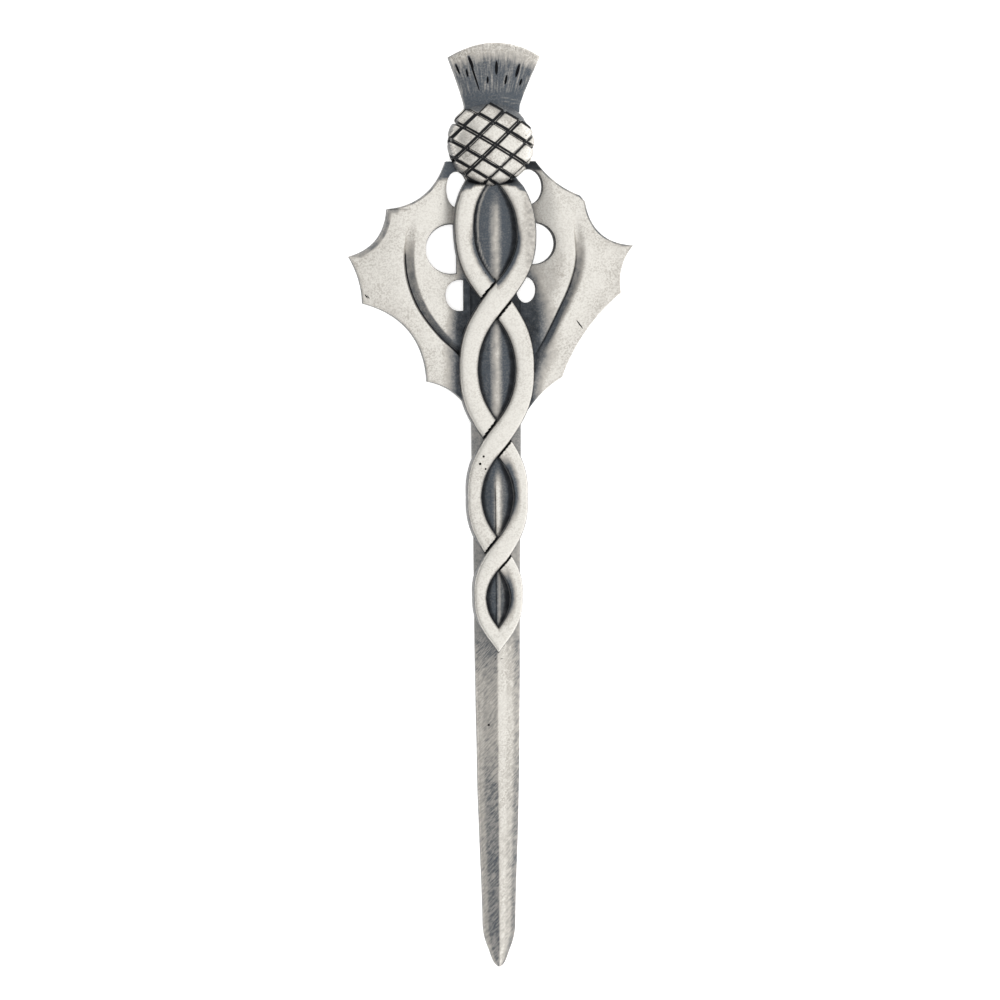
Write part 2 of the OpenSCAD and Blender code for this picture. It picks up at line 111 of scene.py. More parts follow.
# Tarnish and blackening of the walls of each form and of each cut, under the painted upper side
BLADE_WALLS = (0.7, 0.15)
STRAND_WALLS = (0.85, 0.3)
LEAF_WALLS = (0.75, 0.45)
HOLE_WALLS = (0.9, 0.85)
BULB_WALLS = (0.5, 0.3)
CROWN_WALLS = (0.6, 0.4)
MITRE_WALLS = (0.5, 0.3)
MARK_WALLS = (1, 1)

# Tarnish here and below goes from 0 on rubbed metal to 1 and more in the hollows; where said, it also
# lays painted shade or painted highlights. A pair of values leads from one place to another.

# Bare blade: both slopes at the last crossing, left and right; its left slope, left edge and
# right slope, each as a pair from near the crossing to far down; the bands along the right slope, each
# with its start and its width as shares of the half width and with what it adds; and the share across
# at which the slopes meet
# The left slope's values, above the right's, are painted shade, for that slope faces away from the light
CROSSING_LEFT = 0.8
CROSSING_RIGHT = 0.26
BARE_LEFT_SLOPE = (0.54, 0.84)
BARE_LEFT_EDGE = (0.36, 0.54)
BARE_RIGHT_SLOPE = (0.09, 0.27)
BARE_RIGHT_BANDS = [
    (0.28, 0.16, 0.18),
    (0.6, 0.2, 0.34),
]
BARE_RIDGE = -0.04

# Blade between the strands, in the two upper loops: tarnish, the painted glow of the highlight on its
# ridge in the first and in the second loop, and the painted highlight line on the ridge
PANEL_UPPER = 1.04
PANEL_HIGHLIGHT_GLOW = (0.48, 0.58)
PANEL_HIGHLIGHT_LINE = 0.28

# Blade between the strands, in the lower loops: tarnish, the painted highlight line in the last and in
# the third loop, and the painted light on the right slope, which faces the light
PANEL_LOWER = 1.02
LOWER_HIGHLIGHT_LINE = (0.75, 1.0)
LOWER_RIGHT_LIGHT = 0.12

# Blade outside the strands: its left flank, and its right flank low and high
FLANK_LEFT = 0.77
FLANK_RIGHT = (0.66, 0.8)

# Painted highlight line beside the first left strand, and blackening of the blade: beside the strands, partly
# painted shadow, under the leaves, and painted shade on its left slope in the first and second loop and left
# of the ridge in the lower loops
PAINTED_LIGHT_LINE = 0.45
HOLLOW_BLACK_AND_SHADOW = 0.65
LEAF_ZONE_BLACK = 0.6
LEFT_SLOPE_SHADE = (0.3, 0.38)
LEFT_LINE_SHADE = 0.7

# Fades down the blade, each with its start and its width. As shares of the blade's body: below the
# second crossing, below the first, and above the third, where the right flank changes. As shares of
# the twist: the panel in the third loop and the end of the painted highlight line. As shares of a loop:
# where the ridge's painted glow and highlight line show
BELOW_SECOND = (0.58, 0.04)
BELOW_FIRST = (0.82, 0.03)
FLANK_CHANGE = (0.5, 0.04)
THIRD_PANEL = ((0.57, 0.08), (0.75, 0.05))
PAINTED_LIGHT_LINE_END = (0.17, 0.05)
RIDGE_SHOWN = ((0.04, 0.3), (0.75, 0.25))

# Fades across the blade, as shares of its half width: the ridge's painted glow, the place of its painted
# highlight line and that line's width in most loops and in the third, the painted light on the right slope,
# the painted shade on the left slope, and place and width of the painted shade line beside the ridge. How
# far the blackening beside a strand reaches, left and right, in millimetres, partly as painted shadow
RIDGE_GLOW = (0, 0.34)
RIDGE_PLACE = 0.04
RIDGE_LINE_WIDTH = (0.035, 0.125)
LIT_RIGHT_SLOPE = ((0, 0.1), (0.25, 0.3))
LEFT_SLOPE = (0.12, 0.15)
LEFT_LINE = (-0.08, 0.05)
HOLLOW_AND_SHADOW_REACH = (0.26, 0.34)

# Tarnish of the strands: on top, at both edges, on the inner side, more of it in the first loop,
# patches on the right strand, the loops that are duller as a whole, and the shade under the bulb
STRAND_TOP = 0.02
STRAND_EDGE = 0.7
STRAND_INNER = 0.25
FIRST_LOOP_INNER = 0.8
STRAND_PATCHES = 0.5
DULLER_LOOP = 0.13
BULB_SHADE = 0.95

# Fades of the strands, each with its start and its width. Across a strand, as shares of its half
# width: both edges, the inner side, and the broader fade of the inner side in the first loop. Down
# the twist: where that broader one lies, and the ends of the patches, of the first loop and of the
# third one
EDGE_FADE = (0.86, 0.12)
INNER_FADE = (0.55, 0.35)
BROAD_INNER_FADE = (0.2, 0.6)
FIRST_LOOP_REST = ((0.08, 0.06), (0.22, 0.03))
PATCHES_END = (0.2, 0.3)
FIRST_LOOP_END = (0.22, 0.04)
THIRD_LOOP = ((0.56, 0.04), (0.8, 0.04))

# Leaf outlines from foot to neck: distance from the axis as a share of the span, height as a share
# of the leaf, and the hollow of the arc to the next point
LEFT_CUSPS = [
    (0.18, 0.0, 0.12),
    (0.47, 0.122, 0.182),
    (0.906, 0.435, 0.066),
    (1.0, 0.623, 0.18),
    (0.737, 0.811, 0.165),
    (0.335, 1.0, 0),
]
RIGHT_CUSPS = [
    (0.22, 0.0, 0.06),
    (0.477, 0.137, 0),
    (0.497, 0.168, 0.062),
    (0.909, 0.473, 0.115),
    (1.0, 0.662, 0.205),
    (0.649, 0.838, 0),
    (0.612, 0.862, 0.078),
    (0.295, 1.0, 0),
]

# Holes of a leaf: middle and half sizes as shares of the span and of the leaf's height, and the
# straight side that a hole ends at, as a share of the span
LEFT_HOLES = [
    (0.258, 0.89, 0.071, 0.07, 0),
    (0.298, 0.651, 0.169, 0.098, 0.262),
    (0.238, 0.466, 0.1, 0.062, 0.215),
]
RIGHT_HOLES = [
    (0.244, 0.898, 0.099, 0.07, 0),
    (0.278, 0.672, 0.151, 0.082, 0.16),
    (0.224, 0.487, 0.07, 0.051, 0),
]

# How much wider, as a share, a hole is 4 mm above the flat back
HOLE_TAPER = 0.12

# Valley between a leaf's two lobes, from neck to foot: height as a share of the leaf, distance
# from the axis as a share of the span, and depth as a share
LEFT_VALLEY = [
    (1.03, 0.52, 0),
    (0.9, 0.545, 0),
    (0.8, 0.575, 0),
    (0.7, 0.602, 0.35),
    (0.6, 0.613, 1),
    (0.5, 0.585, 1),
    (0.4, 0.511, 1),
    (0.3, 0.38, 1),
    (0.2, 0.21, 0.8),
    (0.1, 0.185, 0.5),
    (-0.04, 0.18, 0.3),
]
RIGHT_VALLEY = [
    (1.03, 0.47, 0),
    (0.9, 0.515, 0),
    (0.8, 0.56, 0),
    (0.7, 0.582, 0.4),
    (0.6, 0.587, 0.8),
    (0.5, 0.538, 1),
    (0.4, 0.455, 1),
    (0.3, 0.365, 1),
    (0.2, 0.27, 0.8),
    (0.1, 0.21, 0.5),
    (-0.04, 0.2, 0.3),
]

# Tarnish of one leaf, with lengths in millimetres. The band in its valley: strength, start from the
# top of the inner slope and fade, end from the bottom and fade. The black line in the bottom:
# strength, place from the bottom and half width. The dark root: reach and fade at its narrowest and
# at its widest. The inner slope's own tarnish. The neck: height as a share of the leaf, how much
# lower it lies for each millimetre out, and blackening
LeafTarnish = namedtuple(
    "LeafTarnish", "band band_start band_rise band_end band_fall line line_place line_half"
    " root_least root_most inner_slope neck neck_slant neck_black")
LEFT_TARNISH = LeafTarnish(
    band=0.9, band_start=-0.05, band_rise=0.25, band_end=0, band_fall=0.1,
    line=1, line_place=0, line_half=0.05, root_least=(3.3, 1.4), root_most=(4.1, 2.4),
    inner_slope=0.1, neck=0.955, neck_slant=0.007, neck_black=0)
RIGHT_TARNISH = LeafTarnish(
    band=1, band_start=0.05, band_rise=0.12, band_end=0.4, band_fall=0.8,
    line=0.6, line_place=-0.05, line_half=0.06, root_least=(3.6, 2.4), root_most=(4.2, 3.8),
    inner_slope=0.28, neck=0.95, neck_slant=0, neck_black=0.6)

LeafShape = namedtuple("LeafShape", "side cusps holes valley tarnish")
LEFT_LEAF = LeafShape(LEFT, LEFT_CUSPS, LEFT_HOLES, LEFT_VALLEY, LEFT_TARNISH)
RIGHT_LEAF = LeafShape(RIGHT, RIGHT_CUSPS, RIGHT_HOLES, RIGHT_VALLEY, RIGHT_TARNISH)

# Tarnish of both leaves: the valley high and low, the rims low and high, the ground rim, the edges of
# the holes, and the darkening near the rim, low down and towards the tips; and blackening of the root
VALLEY_TARNISH = (0.85, 1.03)
RIM_TARNISH = (0.3, 0.8)
RIM_GROUND = 0.75
HOLE_TARNISH = 0.3
RIM_DULLING = 0.16
LOW_DULLING = 0.05
TIP_DULLING = 0.07
ROOT_BLACK = 0.5

# Fades up a leaf, each with its start and its width as shares of the leaf's height: from the low to
# the high valley, where the right leaf's root is widest, the ends of the root, of the crease, of the
# darker low part and of the inner slope's tarnish, and from the low to the high rim
LOW_VALLEY = (0.27, 0.35)
WIDE_ROOT = ((0.1, 0.15), (0.36, 0.2))
ROOT_END = (0.52, 0.14)
CREASE_END = (0.6, 0.1)
LOW_DULLING_END = (0.72, 0.1)
INNER_SLOPE_END = (0.5, 0.3)
HIGH_RIM = (0.6, 0.1)

# Rim of a leaf: width of its rounding, and of its ground edge between two cusps of the left leaf
RIM_CHAMFER = 0.2 * MM
GROUND_CHAMFER = 0.55 * MM
GROUND_CUSPS = (3, 4)

# Rounding of a leaf: depth of the rim's roll as a share of its width, depth and width of the roll at
# a hole, height of its dents, and where the outer lobe would end, as a share of the span
RIM_ROLL = 0.8
HOLE_ROLL_DEPTH = 0.09 * MM
HOLE_ROLL_WIDTH = 0.3 * MM
LEAF_DENTS = 0.03 * MM
OUTER_LOBE_END = 1.04

# Columns of a leaf's sheet in each zone: root, slope into the valley, lip, outer lobe and rim. Rows
# on an arc of the given length. Narrowest that a zone may be
LEAF_COLUMNS = (30, 6, 4, 16, 6)
LEAF_ROWS = 26
LEAF_ARC = 7 * MM
LEAST_ZONE = 0.03 * MM

# Slopes of the bulb's two families of grooves, and the angles at which each family's lines lie
GROOVE_SLOPES = (31, -44)
GROOVE_ANGLES = (
    (-75, -50, -26, -2, 24, 50),
    (-75, -47, -19, 5, 34, 66),
)
# Places across a scale from groove to groove where the sheet has its lines
SCALE_LINES = (0, 0.05, 0.1, 0.15, 0.22, 0.38, 0.5, 0.62, 0.78, 0.85, 0.9, 0.95)

# Bulb, in degrees over its dome: how far the sheet goes on past it, where the dome is taken as
# upright and how far each degree reaches there, where the top row of scales begins, and what the
# crown covers
PAST_DOME = 8
DOME_STEEP = 80
STEEP_STEP = 0.06
TOP_ROW = 26
COVERED_FROM = GROOVE_ANGLES[0][-1] + 3
COVERED_BELOW = GROOVE_ANGLES[1][1] - 1.5

# Groove in degrees over the dome, each with its half width and its fade: the cut, the hollow around
# it, the blackening and the barer middle of the floor. The share of the depth that is the cut's, and
# how much less black the floor is
GROOVE_CUT = (1.2, 1.2)
GROOVE_HOLLOW = (2.4, 3.5)
GROOVE_BLACK = (2.5, 1.0)
GROOVE_FLOOR = (0.2, 0.8)
CUT_SHARE = 0.75
FLOOR_BARE = 0.6

# Bulb: how deep it is sunk under the crown as a share of a groove, draft of its side, and dents
COVERED_SINK = 0.85
BULB_DRAFT = 0.035
BULB_DENTS = 0.03 * MM

# Tarnish of the bulb: scales, hollows beside the grooves, top row, worn patches and what the crown
# covers; and blackening of its foot
SCALE_TARNISH = 0.03
HOLLOW_TARNISH = 0.25
TOP_ROW_TARNISH = 0.4
SCALE_PATCHES = 0.35
COVERED_TARNISH = 0.92
FOOT_BLACK = 0.95

# Engraved slits of the crown, each with its lower and its upper end: place across as a share of
# the half width and place up as a share of the crown's height; and its width as a share
CROWN_SLITS = [
    (-0.9, 0.625, -0.92, 0.805, 0.7),
    (-0.72, 0.525, -0.72, 0.655, 0.7),
    (-0.455, 0.275, -0.61, 0.835, 0.6),
    (-0.55, 0.645, -0.61, 0.845, 1.0),
    (-0.18, 0.365, -0.18, 0.465, 0.7),
    (0.065, 0.503, 0.05, 0.7, 1.0),
    (0.345, 0.355, 0.36, 0.495, 0.8),
    (0.615, 0.503, 0.625, 0.715, 1.0),
    (0.78, 0.38, 0.785, 0.49, 0.8),
]

# Form of the crown: powers of its flare and of its dome. Its collar of two lines, as shares of the
# crown's height: place, rise and fall across the crown, half the distance between the lines, and the
# fade of each
CROWN_FLARE = 1.15
CROWN_DOME = 0.8
COLLAR = 0.1
COLLAR_WAVE = 0.03
COLLAR_HALF = 0.03
COLLAR_FADE = 0.022

# Streaks of the crown, each with its number across and along: broad, fine and short bright ones, and
# where the short ones begin above the collar
BROAD_STREAKS = (18, 0.8)
FINE_STREAKS = (42, 1.5)
BRIGHT_STREAKS = (30, 5)
ABOVE_COLLAR = (0.18, 0.08)

# Tarnish of the crown: at the neck and above, how much the rubbed rim and the short streaks lack of it,
# the painted highlight on the collar's right half, and tarnish and blackening beside a slit
CROWN_TARNISH = (1.08, 0.97)
CROWN_BARE = 0.64
SHORT_STREAKS = 0.4
COLLAR_HIGHLIGHT = 0.25
SLIT_TARNISH = 0.95
SLIT_BLACK = 0.55

# Depths of a slit and of a nick
SLIT_DEPTH = 0.34 * MM
NICK_DEPTH = 0.4 * MM

# Small pits in the casting: place across from the axis and along from the point, height over the
# back, and radius, in millimetres
CASTING_PITS = [
    (-1.93, 54.45, 3.35, 0.15),
    (-1.56, 55.25, 3.4, 0.13),
    (-1.33, 53.9, 3.35, 0.12),
    (-1.06, 26.2, 1.8, 0.13),
]

# Nicks in the leaves: both ends across from the axis and along from the point, height over the back,
# and width, in millimetres
LEAF_NICKS = [
    (8.75, 69.9, 9.4, 69.05, 2.15, 0.14),
    (-14.18, 72.85, -13.9, 72.45, 1.66, 0.14),
    (-13.95, 72.75, -13.7, 72.4, 1.66, 0.1),
]

# Painted shade, laid as tarnish and blackening, on a steep slope that faces away from the light, and the
# share of it on one that faces it
STEEP_PAINTED_SHADE = 0.8
STEEP_PAINTED_BLACK = 0.35
TOWARD_LIGHT = 0.3

# Recesses: number of directions that are looked in, how far, and from what height over the metal;
# and how much less the farthest metal blocks than the nearest
RECESS_RAYS = 20
RECESS_REACH = 2.2 * MM
RECESS_START = 0.02 * MM
RECESS_FADE = 0.7

# Grain of the cast metal, in cells a metre: fine grain, broad grain, its patches, pits and the
# clouds of the tarnish; and strength of its relief
FINE_GRAIN = 5400
BROAD_GRAIN = 900
GRAIN_PATCHES = 380
PIT_CELLS = 420
TARNISH_CLOUDS = 1400
GRAIN_RELIEF = 0.8

# Scratches of the brush: cells a metre along and across them
SCRATCH_SCALE = (1150, 9600, 1150)

# Tarnish at which the patina's colour begins and is full, and then the dark tarnish's; how far the
# scratches and the speckle lighten it; and how matt full tarnish is
PATINA_RANGE = (0.0, 0.6)
DARK_RANGE = (0.35, 1.02)
SCRATCH_LIGHT = 0.85
SPECKLE_LIGHT = 0.12
TARNISH_MATT = 0.7

# Speckle on rubbed metal and on tarnish, and strength of the black pits
SPECKLE_GROWTH = (0.7, 1.6)
PIT_BLACK = 0.9

# Surface of the pewter: specular level, roughness of rubbed metal and how much rougher tarnish or a
# mark makes it, strength and depth of the bump
PEWTER_SPECULAR = 0.15
PEWTER_ROUGH = 0.4
MARKED_ROUGH = 0.12
PEWTER_BUMP = (0.6, 0.03 * MM)

# Surface of the steel: direction of its scratches, scale and strength of its grain, roughness and
# how much rougher a scratch makes it, strength and depth of the bump
STEEL_BRUSH = 1.57
STEEL_GRAIN = (1.4, 0.3)
STEEL_ROUGH = 0.22
STEEL_SCRATCH_ROUGH = 0.2
STEEL_BUMP = (0.3, 0.01 * MM)

# Studio: half width of the floor, surroundings on the left and on the right, size and power of the
# floor's light, width of the camera's sensor in millimetres, and where the camera aims
FLOOR_HALF = 3
WORLD_STRENGTH = (0.3, 1.06)
WORLD_COLOUR = (1, 0.995, 0.98, 1)
LAMP_SIZE = 0.2
LAMP_POWER = 10
SENSOR = 36
AIM_ACROSS = 0.78 * MM
AIM_ALONG = 0.54 * MM
AIM_HEIGHT = 1.6 * MM

# Material slots of the casting, one for each form that is finished in its own way
BLADE_METAL, STRAND_METAL, LEAF_METAL, BULB_METAL, CROWN_METAL = range(5)


def size(name, description, millimetres):
    return FloatProperty(
        name=name, description=description, default=millimetres * MM, unit="LENGTH", precision=5)


def metal_colour(name, description, colour):
    return FloatVectorProperty(
        name=name, description=description, default=colour, subtype="COLOR", min=0, max=1)


class BladeSizes(bpy.types.PropertyGroup):
    length: size("Length", "From the point to the foot of the bulb", 85)
    head_width: size("Head width", "Width of the blade at its head", 5.6)
    foot_width: size("Foot width", "Width of the blade where its point begins", 3.5)
    point_length: size("Point length", "Length of the curved point", 4.8)
    ridge: size("Ridge", "Thickness of the blade at its centre ridge", 2.3)
    edge: size("Edge", "Thickness of the blade at its edges", 1.3)


class TwistSizes(bpy.types.PropertyGroup):
    length: size("Length", "From the foot of the bulb to the last crossing", 49.6)
    spread: size("Spread", "From the axis to the middle of a strand in the widest loop", 3.4)
    width: size("Strand width", "Width of a strand in the widest loop", 2.15)
    height: size("Strand height", "Height of a strand over the flat back", 3.1)
    lift: size("Lift", "How far a strand rises where it crosses over the other", 0.4)
    cut_width: size("Cut", "Width of the slanted cut where a strand ends beside the one above it", 0.13)


class LeafSizes(bpy.types.PropertyGroup):
    height: size("Height", "From the leaves' foot to their neck along the blade", 27.1)
    rise: size("Rise", "How far the neck of the leaves rises past the foot of the bulb", 2.2)
    left_span: size("Left span", "From the axis to the tip of the left leaf", 15.9)
    right_span: size("Right span", "From the axis to the tip of the right leaf", 15)
    thickness: size("Thickness", "Thickness of a leaf at the crest of its lobes", 2.2)
    rim: size("Rim", "Thickness of a leaf at its outer rim", 1.6)
    root: size("Root", "Thickness of a leaf under the strands", 1.2)
    valley_depth: size("Valley depth", "Depth of the valley between a leaf's two lobes", 0.6)
    valley_slope: size("Valley slope", "Width of the gentle slope on one side of the valley", 1.0)
    valley_wall: size("Valley wall", "Width of the steep wall on the other side of the valley", 0.26)


class ThistleSizes(bpy.types.PropertyGroup):
    bulb: size("Bulb", "Diameter of the bulb", 9.5)
    bulb_height: size("Bulb height", "Height of the bulb over the flat back", 4.8)
    bulb_side: size("Bulb side", "Height of the bulb's upright side, below its dome", 1.7)
    groove: size("Groove depth", "Depth of the grooves between the bulb's scales", 0.36)
    crown_height: size("Crown height", "From the bulb's top to the middle of the crown's rim", 6.85)
    rim_width: size("Rim width", "Width of the crown at its rim", 9.95)
    neck_width: size("Neck width", "Width of the crown at its neck", 5.95)
    rim_thickness: size("Rim thickness", "Thickness of the crown at its rim", 3.2)
    neck_thickness: size("Neck thickness", "Thickness of the crown at its neck", 2.6)
    crown_edge: size("Crown edge", "Thickness of the crown at its two side edges", 1.6)
    slit: size("Slit", "Width of the widest slit of the crown", 0.34)
    arc_rise: size("Rim rise", "Rise of the crown's rim from its corners to its middle", 1.5)
    lean: size("Lean", "How far the bulb leans to the left of the blade's axis", 0.42)


class Finish(bpy.types.PropertyGroup):
    pewter: metal_colour("Pewter", "Colour of the rubbed pewter", (0.84, 0.82, 0.775))
    grain: metal_colour("Grain", "Colour of grain and scratches in the rubbed pewter", (0.36, 0.33, 0.29))
    patina: metal_colour("Patina", "Colour of the light brownish tarnish", (0.5, 0.475, 0.44))
    # The tarnish and crevice colours also darken the painted shade laid on the casting
    tarnish: metal_colour("Tarnish", "Colour of the tarnish in broad hollows", (0.068, 0.082, 0.1))
    crevice: metal_colour("Crevice", "Colour of the blackening in crevices", (0.012, 0.013, 0.015))
    steel: metal_colour("Steel", "Colour of the brooch pin", (0.46, 0.46, 0.47))


class Studio(bpy.types.PropertyGroup):
    camera_tilt: FloatProperty(
        name="Camera tilt", description="How far the camera stands to the left of straight above",
        default=math.radians(4.5), subtype="ANGLE")
    camera_roll: FloatProperty(
        name="Camera roll", description="Turn of the camera about its own line of sight",
        default=math.radians(0.37), subtype="ANGLE")
    camera_distance: size("Camera distance", "Distance from the camera to the pin", 1400)
    light_distance: size("Light distance", "Distance from the floor's light to the pin", 1600)
    picture_width: size("Picture width", "Width that the picture takes in at the pin", 108.23)


class KiltPin(bpy.types.PropertyGroup):
    blade: PointerProperty(type=BladeSizes, name="Blade", description="Sizes of the blade")
    twist: PointerProperty(type=TwistSizes, name="Twist", description="Sizes of the twisted strands")
    leaf: PointerProperty(type=LeafSizes, name="Leaves", description="Sizes of the leaves")
    thistle: PointerProperty(type=ThistleSizes, name="Thistle", description="Sizes of the thistle")
    finish: PointerProperty(type=Finish, name="Finish", description="Colours of the metals")
    studio: PointerProperty(type=Studio, name="Studio", description="Camera and light of the scene")


def pin():
    return bpy.context.scene.kilt_pin


def smooth(x):
    """Smooth step from 0 to 1"""
    x = min(max(x, 0.0), 1.0)
    return x * x * (3 - 2 * x)


def mix(a, b, share):
    return a + (b - a) * share


def rise(x, start, width):
    """Smooth step from 0 at the start to 1 a width further on"""
    return smooth((x - start) / width)


def fall(x, start, width):
    """Smooth step from 1 at the start to 0 a width further on"""
    return 1 - smooth((x - start) / width)


def between(x, start, end):
    """Smooth bump that rises and falls, each step given by its start and its width"""
    return rise(x, *start) * fall(x, *end)


def bell(x, middle, width):
    """Soft bump that is 1 at its middle"""
    return math.exp(-((x - middle) / width) ** 2)


def clamp(x, low, high):
    return min(max(x, low), high)


def across(i, columns, crowding):
    """Place of a column from -1 to 1, the columns being closer together towards both edges"""
    s = 2 * i / columns - 1
    return math.copysign(1 - (1 - abs(s)) ** crowding, s)


def row_at(rows, key):
    """Smooth curve through the rows of a table, read at a value of its first column"""
    falling = rows[0][0] > rows[-1][0]
    i = 0
    while i < len(rows) - 2 and (key < rows[i + 1][0]) == falling:
        i += 1
    a, b, c, d = rows[max(i - 1, 0)], rows[i], rows[i + 1], rows[min(i + 2, len(rows) - 1)]
    f = clamp((key - b[0]) / (c[0] - b[0]), 0.0, 1.0)
    return [
        q + f * (r - p) / 2 + f * f * (2 * p - 5 * q + 4 * r - s) / 2
        + f * f * f * (3 * q - p - 3 * r + s) / 2
        for p, q, r, s in zip(a, b, c, d)
    ]


# Places along the pin, from the blade's point
def bulb_radius():
    return pin().thistle.bulb / 2


def bulb_y():
    return pin().blade.length + bulb_radius() - BULB_OVERLAP


def crown_foot_y():
    return bulb_y() + bulb_radius() - CROWN_OVERLAP


def crown_corner_y():
    return crown_foot_y() + pin().thistle.crown_height - pin().thistle.arc_rise


def leaf_foot_y():
    return pin().blade.length + pin().leaf.rise - pin().leaf.height


def twist_share(y):
    """How far down the twist a place lies, from 0 at the bulb to 1 at the last crossing"""
    return (pin().blade.length - y) / pin().twist.length


def leaf_share(y):
    """How far up the leaves a place lies, from 0 at their foot to 1 at their neck"""
    return (y - leaf_foot_y()) / pin().leaf.height


def lean(y):
    """Sideways shift of the head, full at the bulb's middle and none at the crown's corners"""
    low = leaf_foot_y() + LEAN_START * pin().leaf.height
    up = smooth((y - low) / (bulb_y() - low))
    back = clamp((y - bulb_y()) / (crown_corner_y() - bulb_y()), 0, 1)
    return -pin().thistle.lean * up * (1 - back)


def waviness(x, y, spacing, seed):
    """Slight unevenness of hand-finished metal, from -1 to 1"""
    return noise.noise(Vector((x / spacing, y / spacing, seed)))


def sheet(columns, rows, place):
    """Grid whose points place(column, row) sets, each with its laid tarnish and blackening"""
    bm = bmesh.new()
    tarnish = bm.verts.layers.float.new("tarnish")
    black = bm.verts.layers.float.new("black")
    bmesh.ops.create_grid(bm, x_segments=columns, y_segments=rows, size=0.5)
    for v in bm.verts:
        i, k = round((v.co.x + 0.5) * columns), round((v.co.y + 0.5) * rows)
        v.co, v[tarnish], v[black] = place(i, k)
    return bm


def boundary(bm):
    return [e for e in bm.edges if e.is_boundary]


def closed(bm):
    """Fills the open border of a mesh and turns its faces outwards"""
    bmesh.ops.holes_fill(bm, edges=boundary(bm), sides=0)
    bmesh.ops.recalc_face_normals(bm, faces=bm.faces)
    return bm


def close_back(bm, depth=0.0):
    """Walls from the sheet's border down to a flat back"""
    wall = bmesh.ops.extrude_edge_only(bm, edges=boundary(bm))["geom"]
    for v in wall:
        if isinstance(v, bmesh.types.BMVert):
            v.co.z = depth
    return closed(bm)


def cut_away(bm, place, toward, dist=0.0):
    """Takes off all that lies behind a plane, toward being its normal"""
    bmesh.ops.bisect_plane(
        bm, geom=bm.verts[:] + bm.edges[:] + bm.faces[:], dist=dist, plane_co=place,
        plane_no=toward, clear_inner=True)
    return closed(bm)


def solid(name, bm, slot, walls):
    """Object of one solid in one material slot, its walls with tarnish and blackening of their own"""
    tarnish = bm.verts.layers.float.get("tarnish")
    black = bm.verts.layers.float.get("black")
    laid = bm.loops.layers.float_color.new("laid")
    for face in bm.faces:
        face.material_index = slot
        upright = tarnish is None or abs(face.normal.z) < UPRIGHT
        for corner in face.loops:
            values = walls if upright else (corner.vert[tarnish], corner.vert[black])
            corner[laid] = (*values, 0, 1)
    for layer in ("tarnish", "black"):
        if bm.verts.layers.float.get(layer) is not None:
            bm.verts.layers.float.remove(bm.verts.layers.float.get(layer))
    mesh = bpy.data.meshes.new(name)
    bm.to_mesh(mesh)
    bm.free()
    for material in casting_metals():
        mesh.materials.append(material)
    return bpy.data.objects.new(name, mesh)


def combined(base, others):
    """Mesh of the base object after each (operation, object) of the list"""
    scene = bpy.context.scene.collection
    scene.objects.link(base)
    for operation, other in others:
        scene.objects.link(other)
        cut = base.modifiers.new(other.name, "BOOLEAN")
        cut.operation = operation
        cut.solver = "MANIFOLD"
        cut.object = other
    graph = bpy.context.evaluated_depsgraph_get()
    mesh = bpy.data.meshes.new_from_object(base.evaluated_get(graph))
    for o in [base] + [other for operation, other in others]:
        old = o.data
        bpy.data.objects.remove(o)
        bpy.data.meshes.remove(old)
    return mesh


def pierced(piece, cutters):
    """Object of a piece with the cutters taken out of it"""
    name = piece.name
    return bpy.data.objects.new(name, combined(piece, [("DIFFERENCE", cutter) for cutter in cutters]))


def blade_half_width(y):
    blade = pin().blade
    if y >= blade.point_length:
        body = (y - blade.point_length) / (blade.length - blade.point_length)
        along, taper, ridge, bend = row_at(BLADE, body)
        return (blade.foot_width + (blade.head_width - blade.foot_width) * taper) / 2
    t = max(y / blade.point_length, BLUNT_POINT)
    return blade.foot_width / 2 * max(math.sqrt(t), 1 - (1 - t) ** 2)


def make_blade():
    blade = pin().blade
    columns, rows = 34, 340
    foot, head = 0.02 * MM, blade.length + 1.6 * MM
    flat_share, ridge_round, point_edge = 0.04, 0.03, 0.7
    edge_roll, dents, edge_dents = 0.16 * MM, 0.02 * MM, 0.03 * MM
    twist_end = blade.length - pin().twist.length

    def place(i, k):
        s = across(i, columns, 1.25)
        y = mix(foot, head, k / rows)
        body = max((y - blade.point_length) / (blade.length - blade.point_length), 0)
        along, taper, ridge, bend = row_at(BLADE, body)
        bare = smooth((twist_end - y) / MM + 0.5)
        point = min(2 * blade_half_width(y) / blade.foot_width, 1)
        flat = flat_share * bare
        q = math.sqrt((max(abs(s) - flat, 0) / (1 - flat)) ** 2 + ridge_round ** 2) - ridge_round
        edge = blade.edge * mix(point_edge, 1, point)
        top = mix(edge, blade.ridge * ridge, point)
        z = edge + (top - edge) * max(1 - q, 0) ** bend
        z -= edge_roll * point * rise(abs(s), 0.9, 0.1)
        x = s * blade_half_width(y)
        z += dents * waviness(x, y, 2.2 * MM, seed=3.1)
        x += edge_dents * waviness(s * MM, y, 5 * MM, seed=7.7)
        dull, black = blade_panel_tarnish_and_light(s, x, y, body)
        dull = mix(dull, blade_rubbed_tarnish_and_shade(s, x, y, twist_end - y), bare)
        return Vector((x, y, z)), dull, black * (1 - bare)

    return solid("blade", close_back(sheet(columns, rows, place)), BLADE_METAL, BLADE_WALLS)


def blade_rubbed_tarnish_and_shade(s, x, y, down):
    """Laid tarnish of the bare blade, with painted shade on its left slope, down being the distance below the
    last crossing
    """
    rubbed = smooth(down / (7 * MM))
    lower = rise(down, 8 * MM, 12 * MM)
    uneven = 0.06 * waviness(x, y, 3 * MM, seed=1.7)
    # Painted shade: the left slope, away from the light, takes much more tarnish than the right
    if s < BARE_RIDGE:
        slope, edge = mix(*BARE_LEFT_SLOPE, lower), mix(*BARE_LEFT_EDGE, lower)
        return mix(CROSSING_LEFT, mix(slope, edge, rise(abs(s), 0.6, 0.2)), rubbed) + uneven
    bands = sum(dull * rise(s, start, width) for start, width, dull in BARE_RIGHT_BANDS)
    return mix(CROSSING_RIGHT, mix(*BARE_RIGHT_SLOPE, lower), rubbed) + bands + uneven


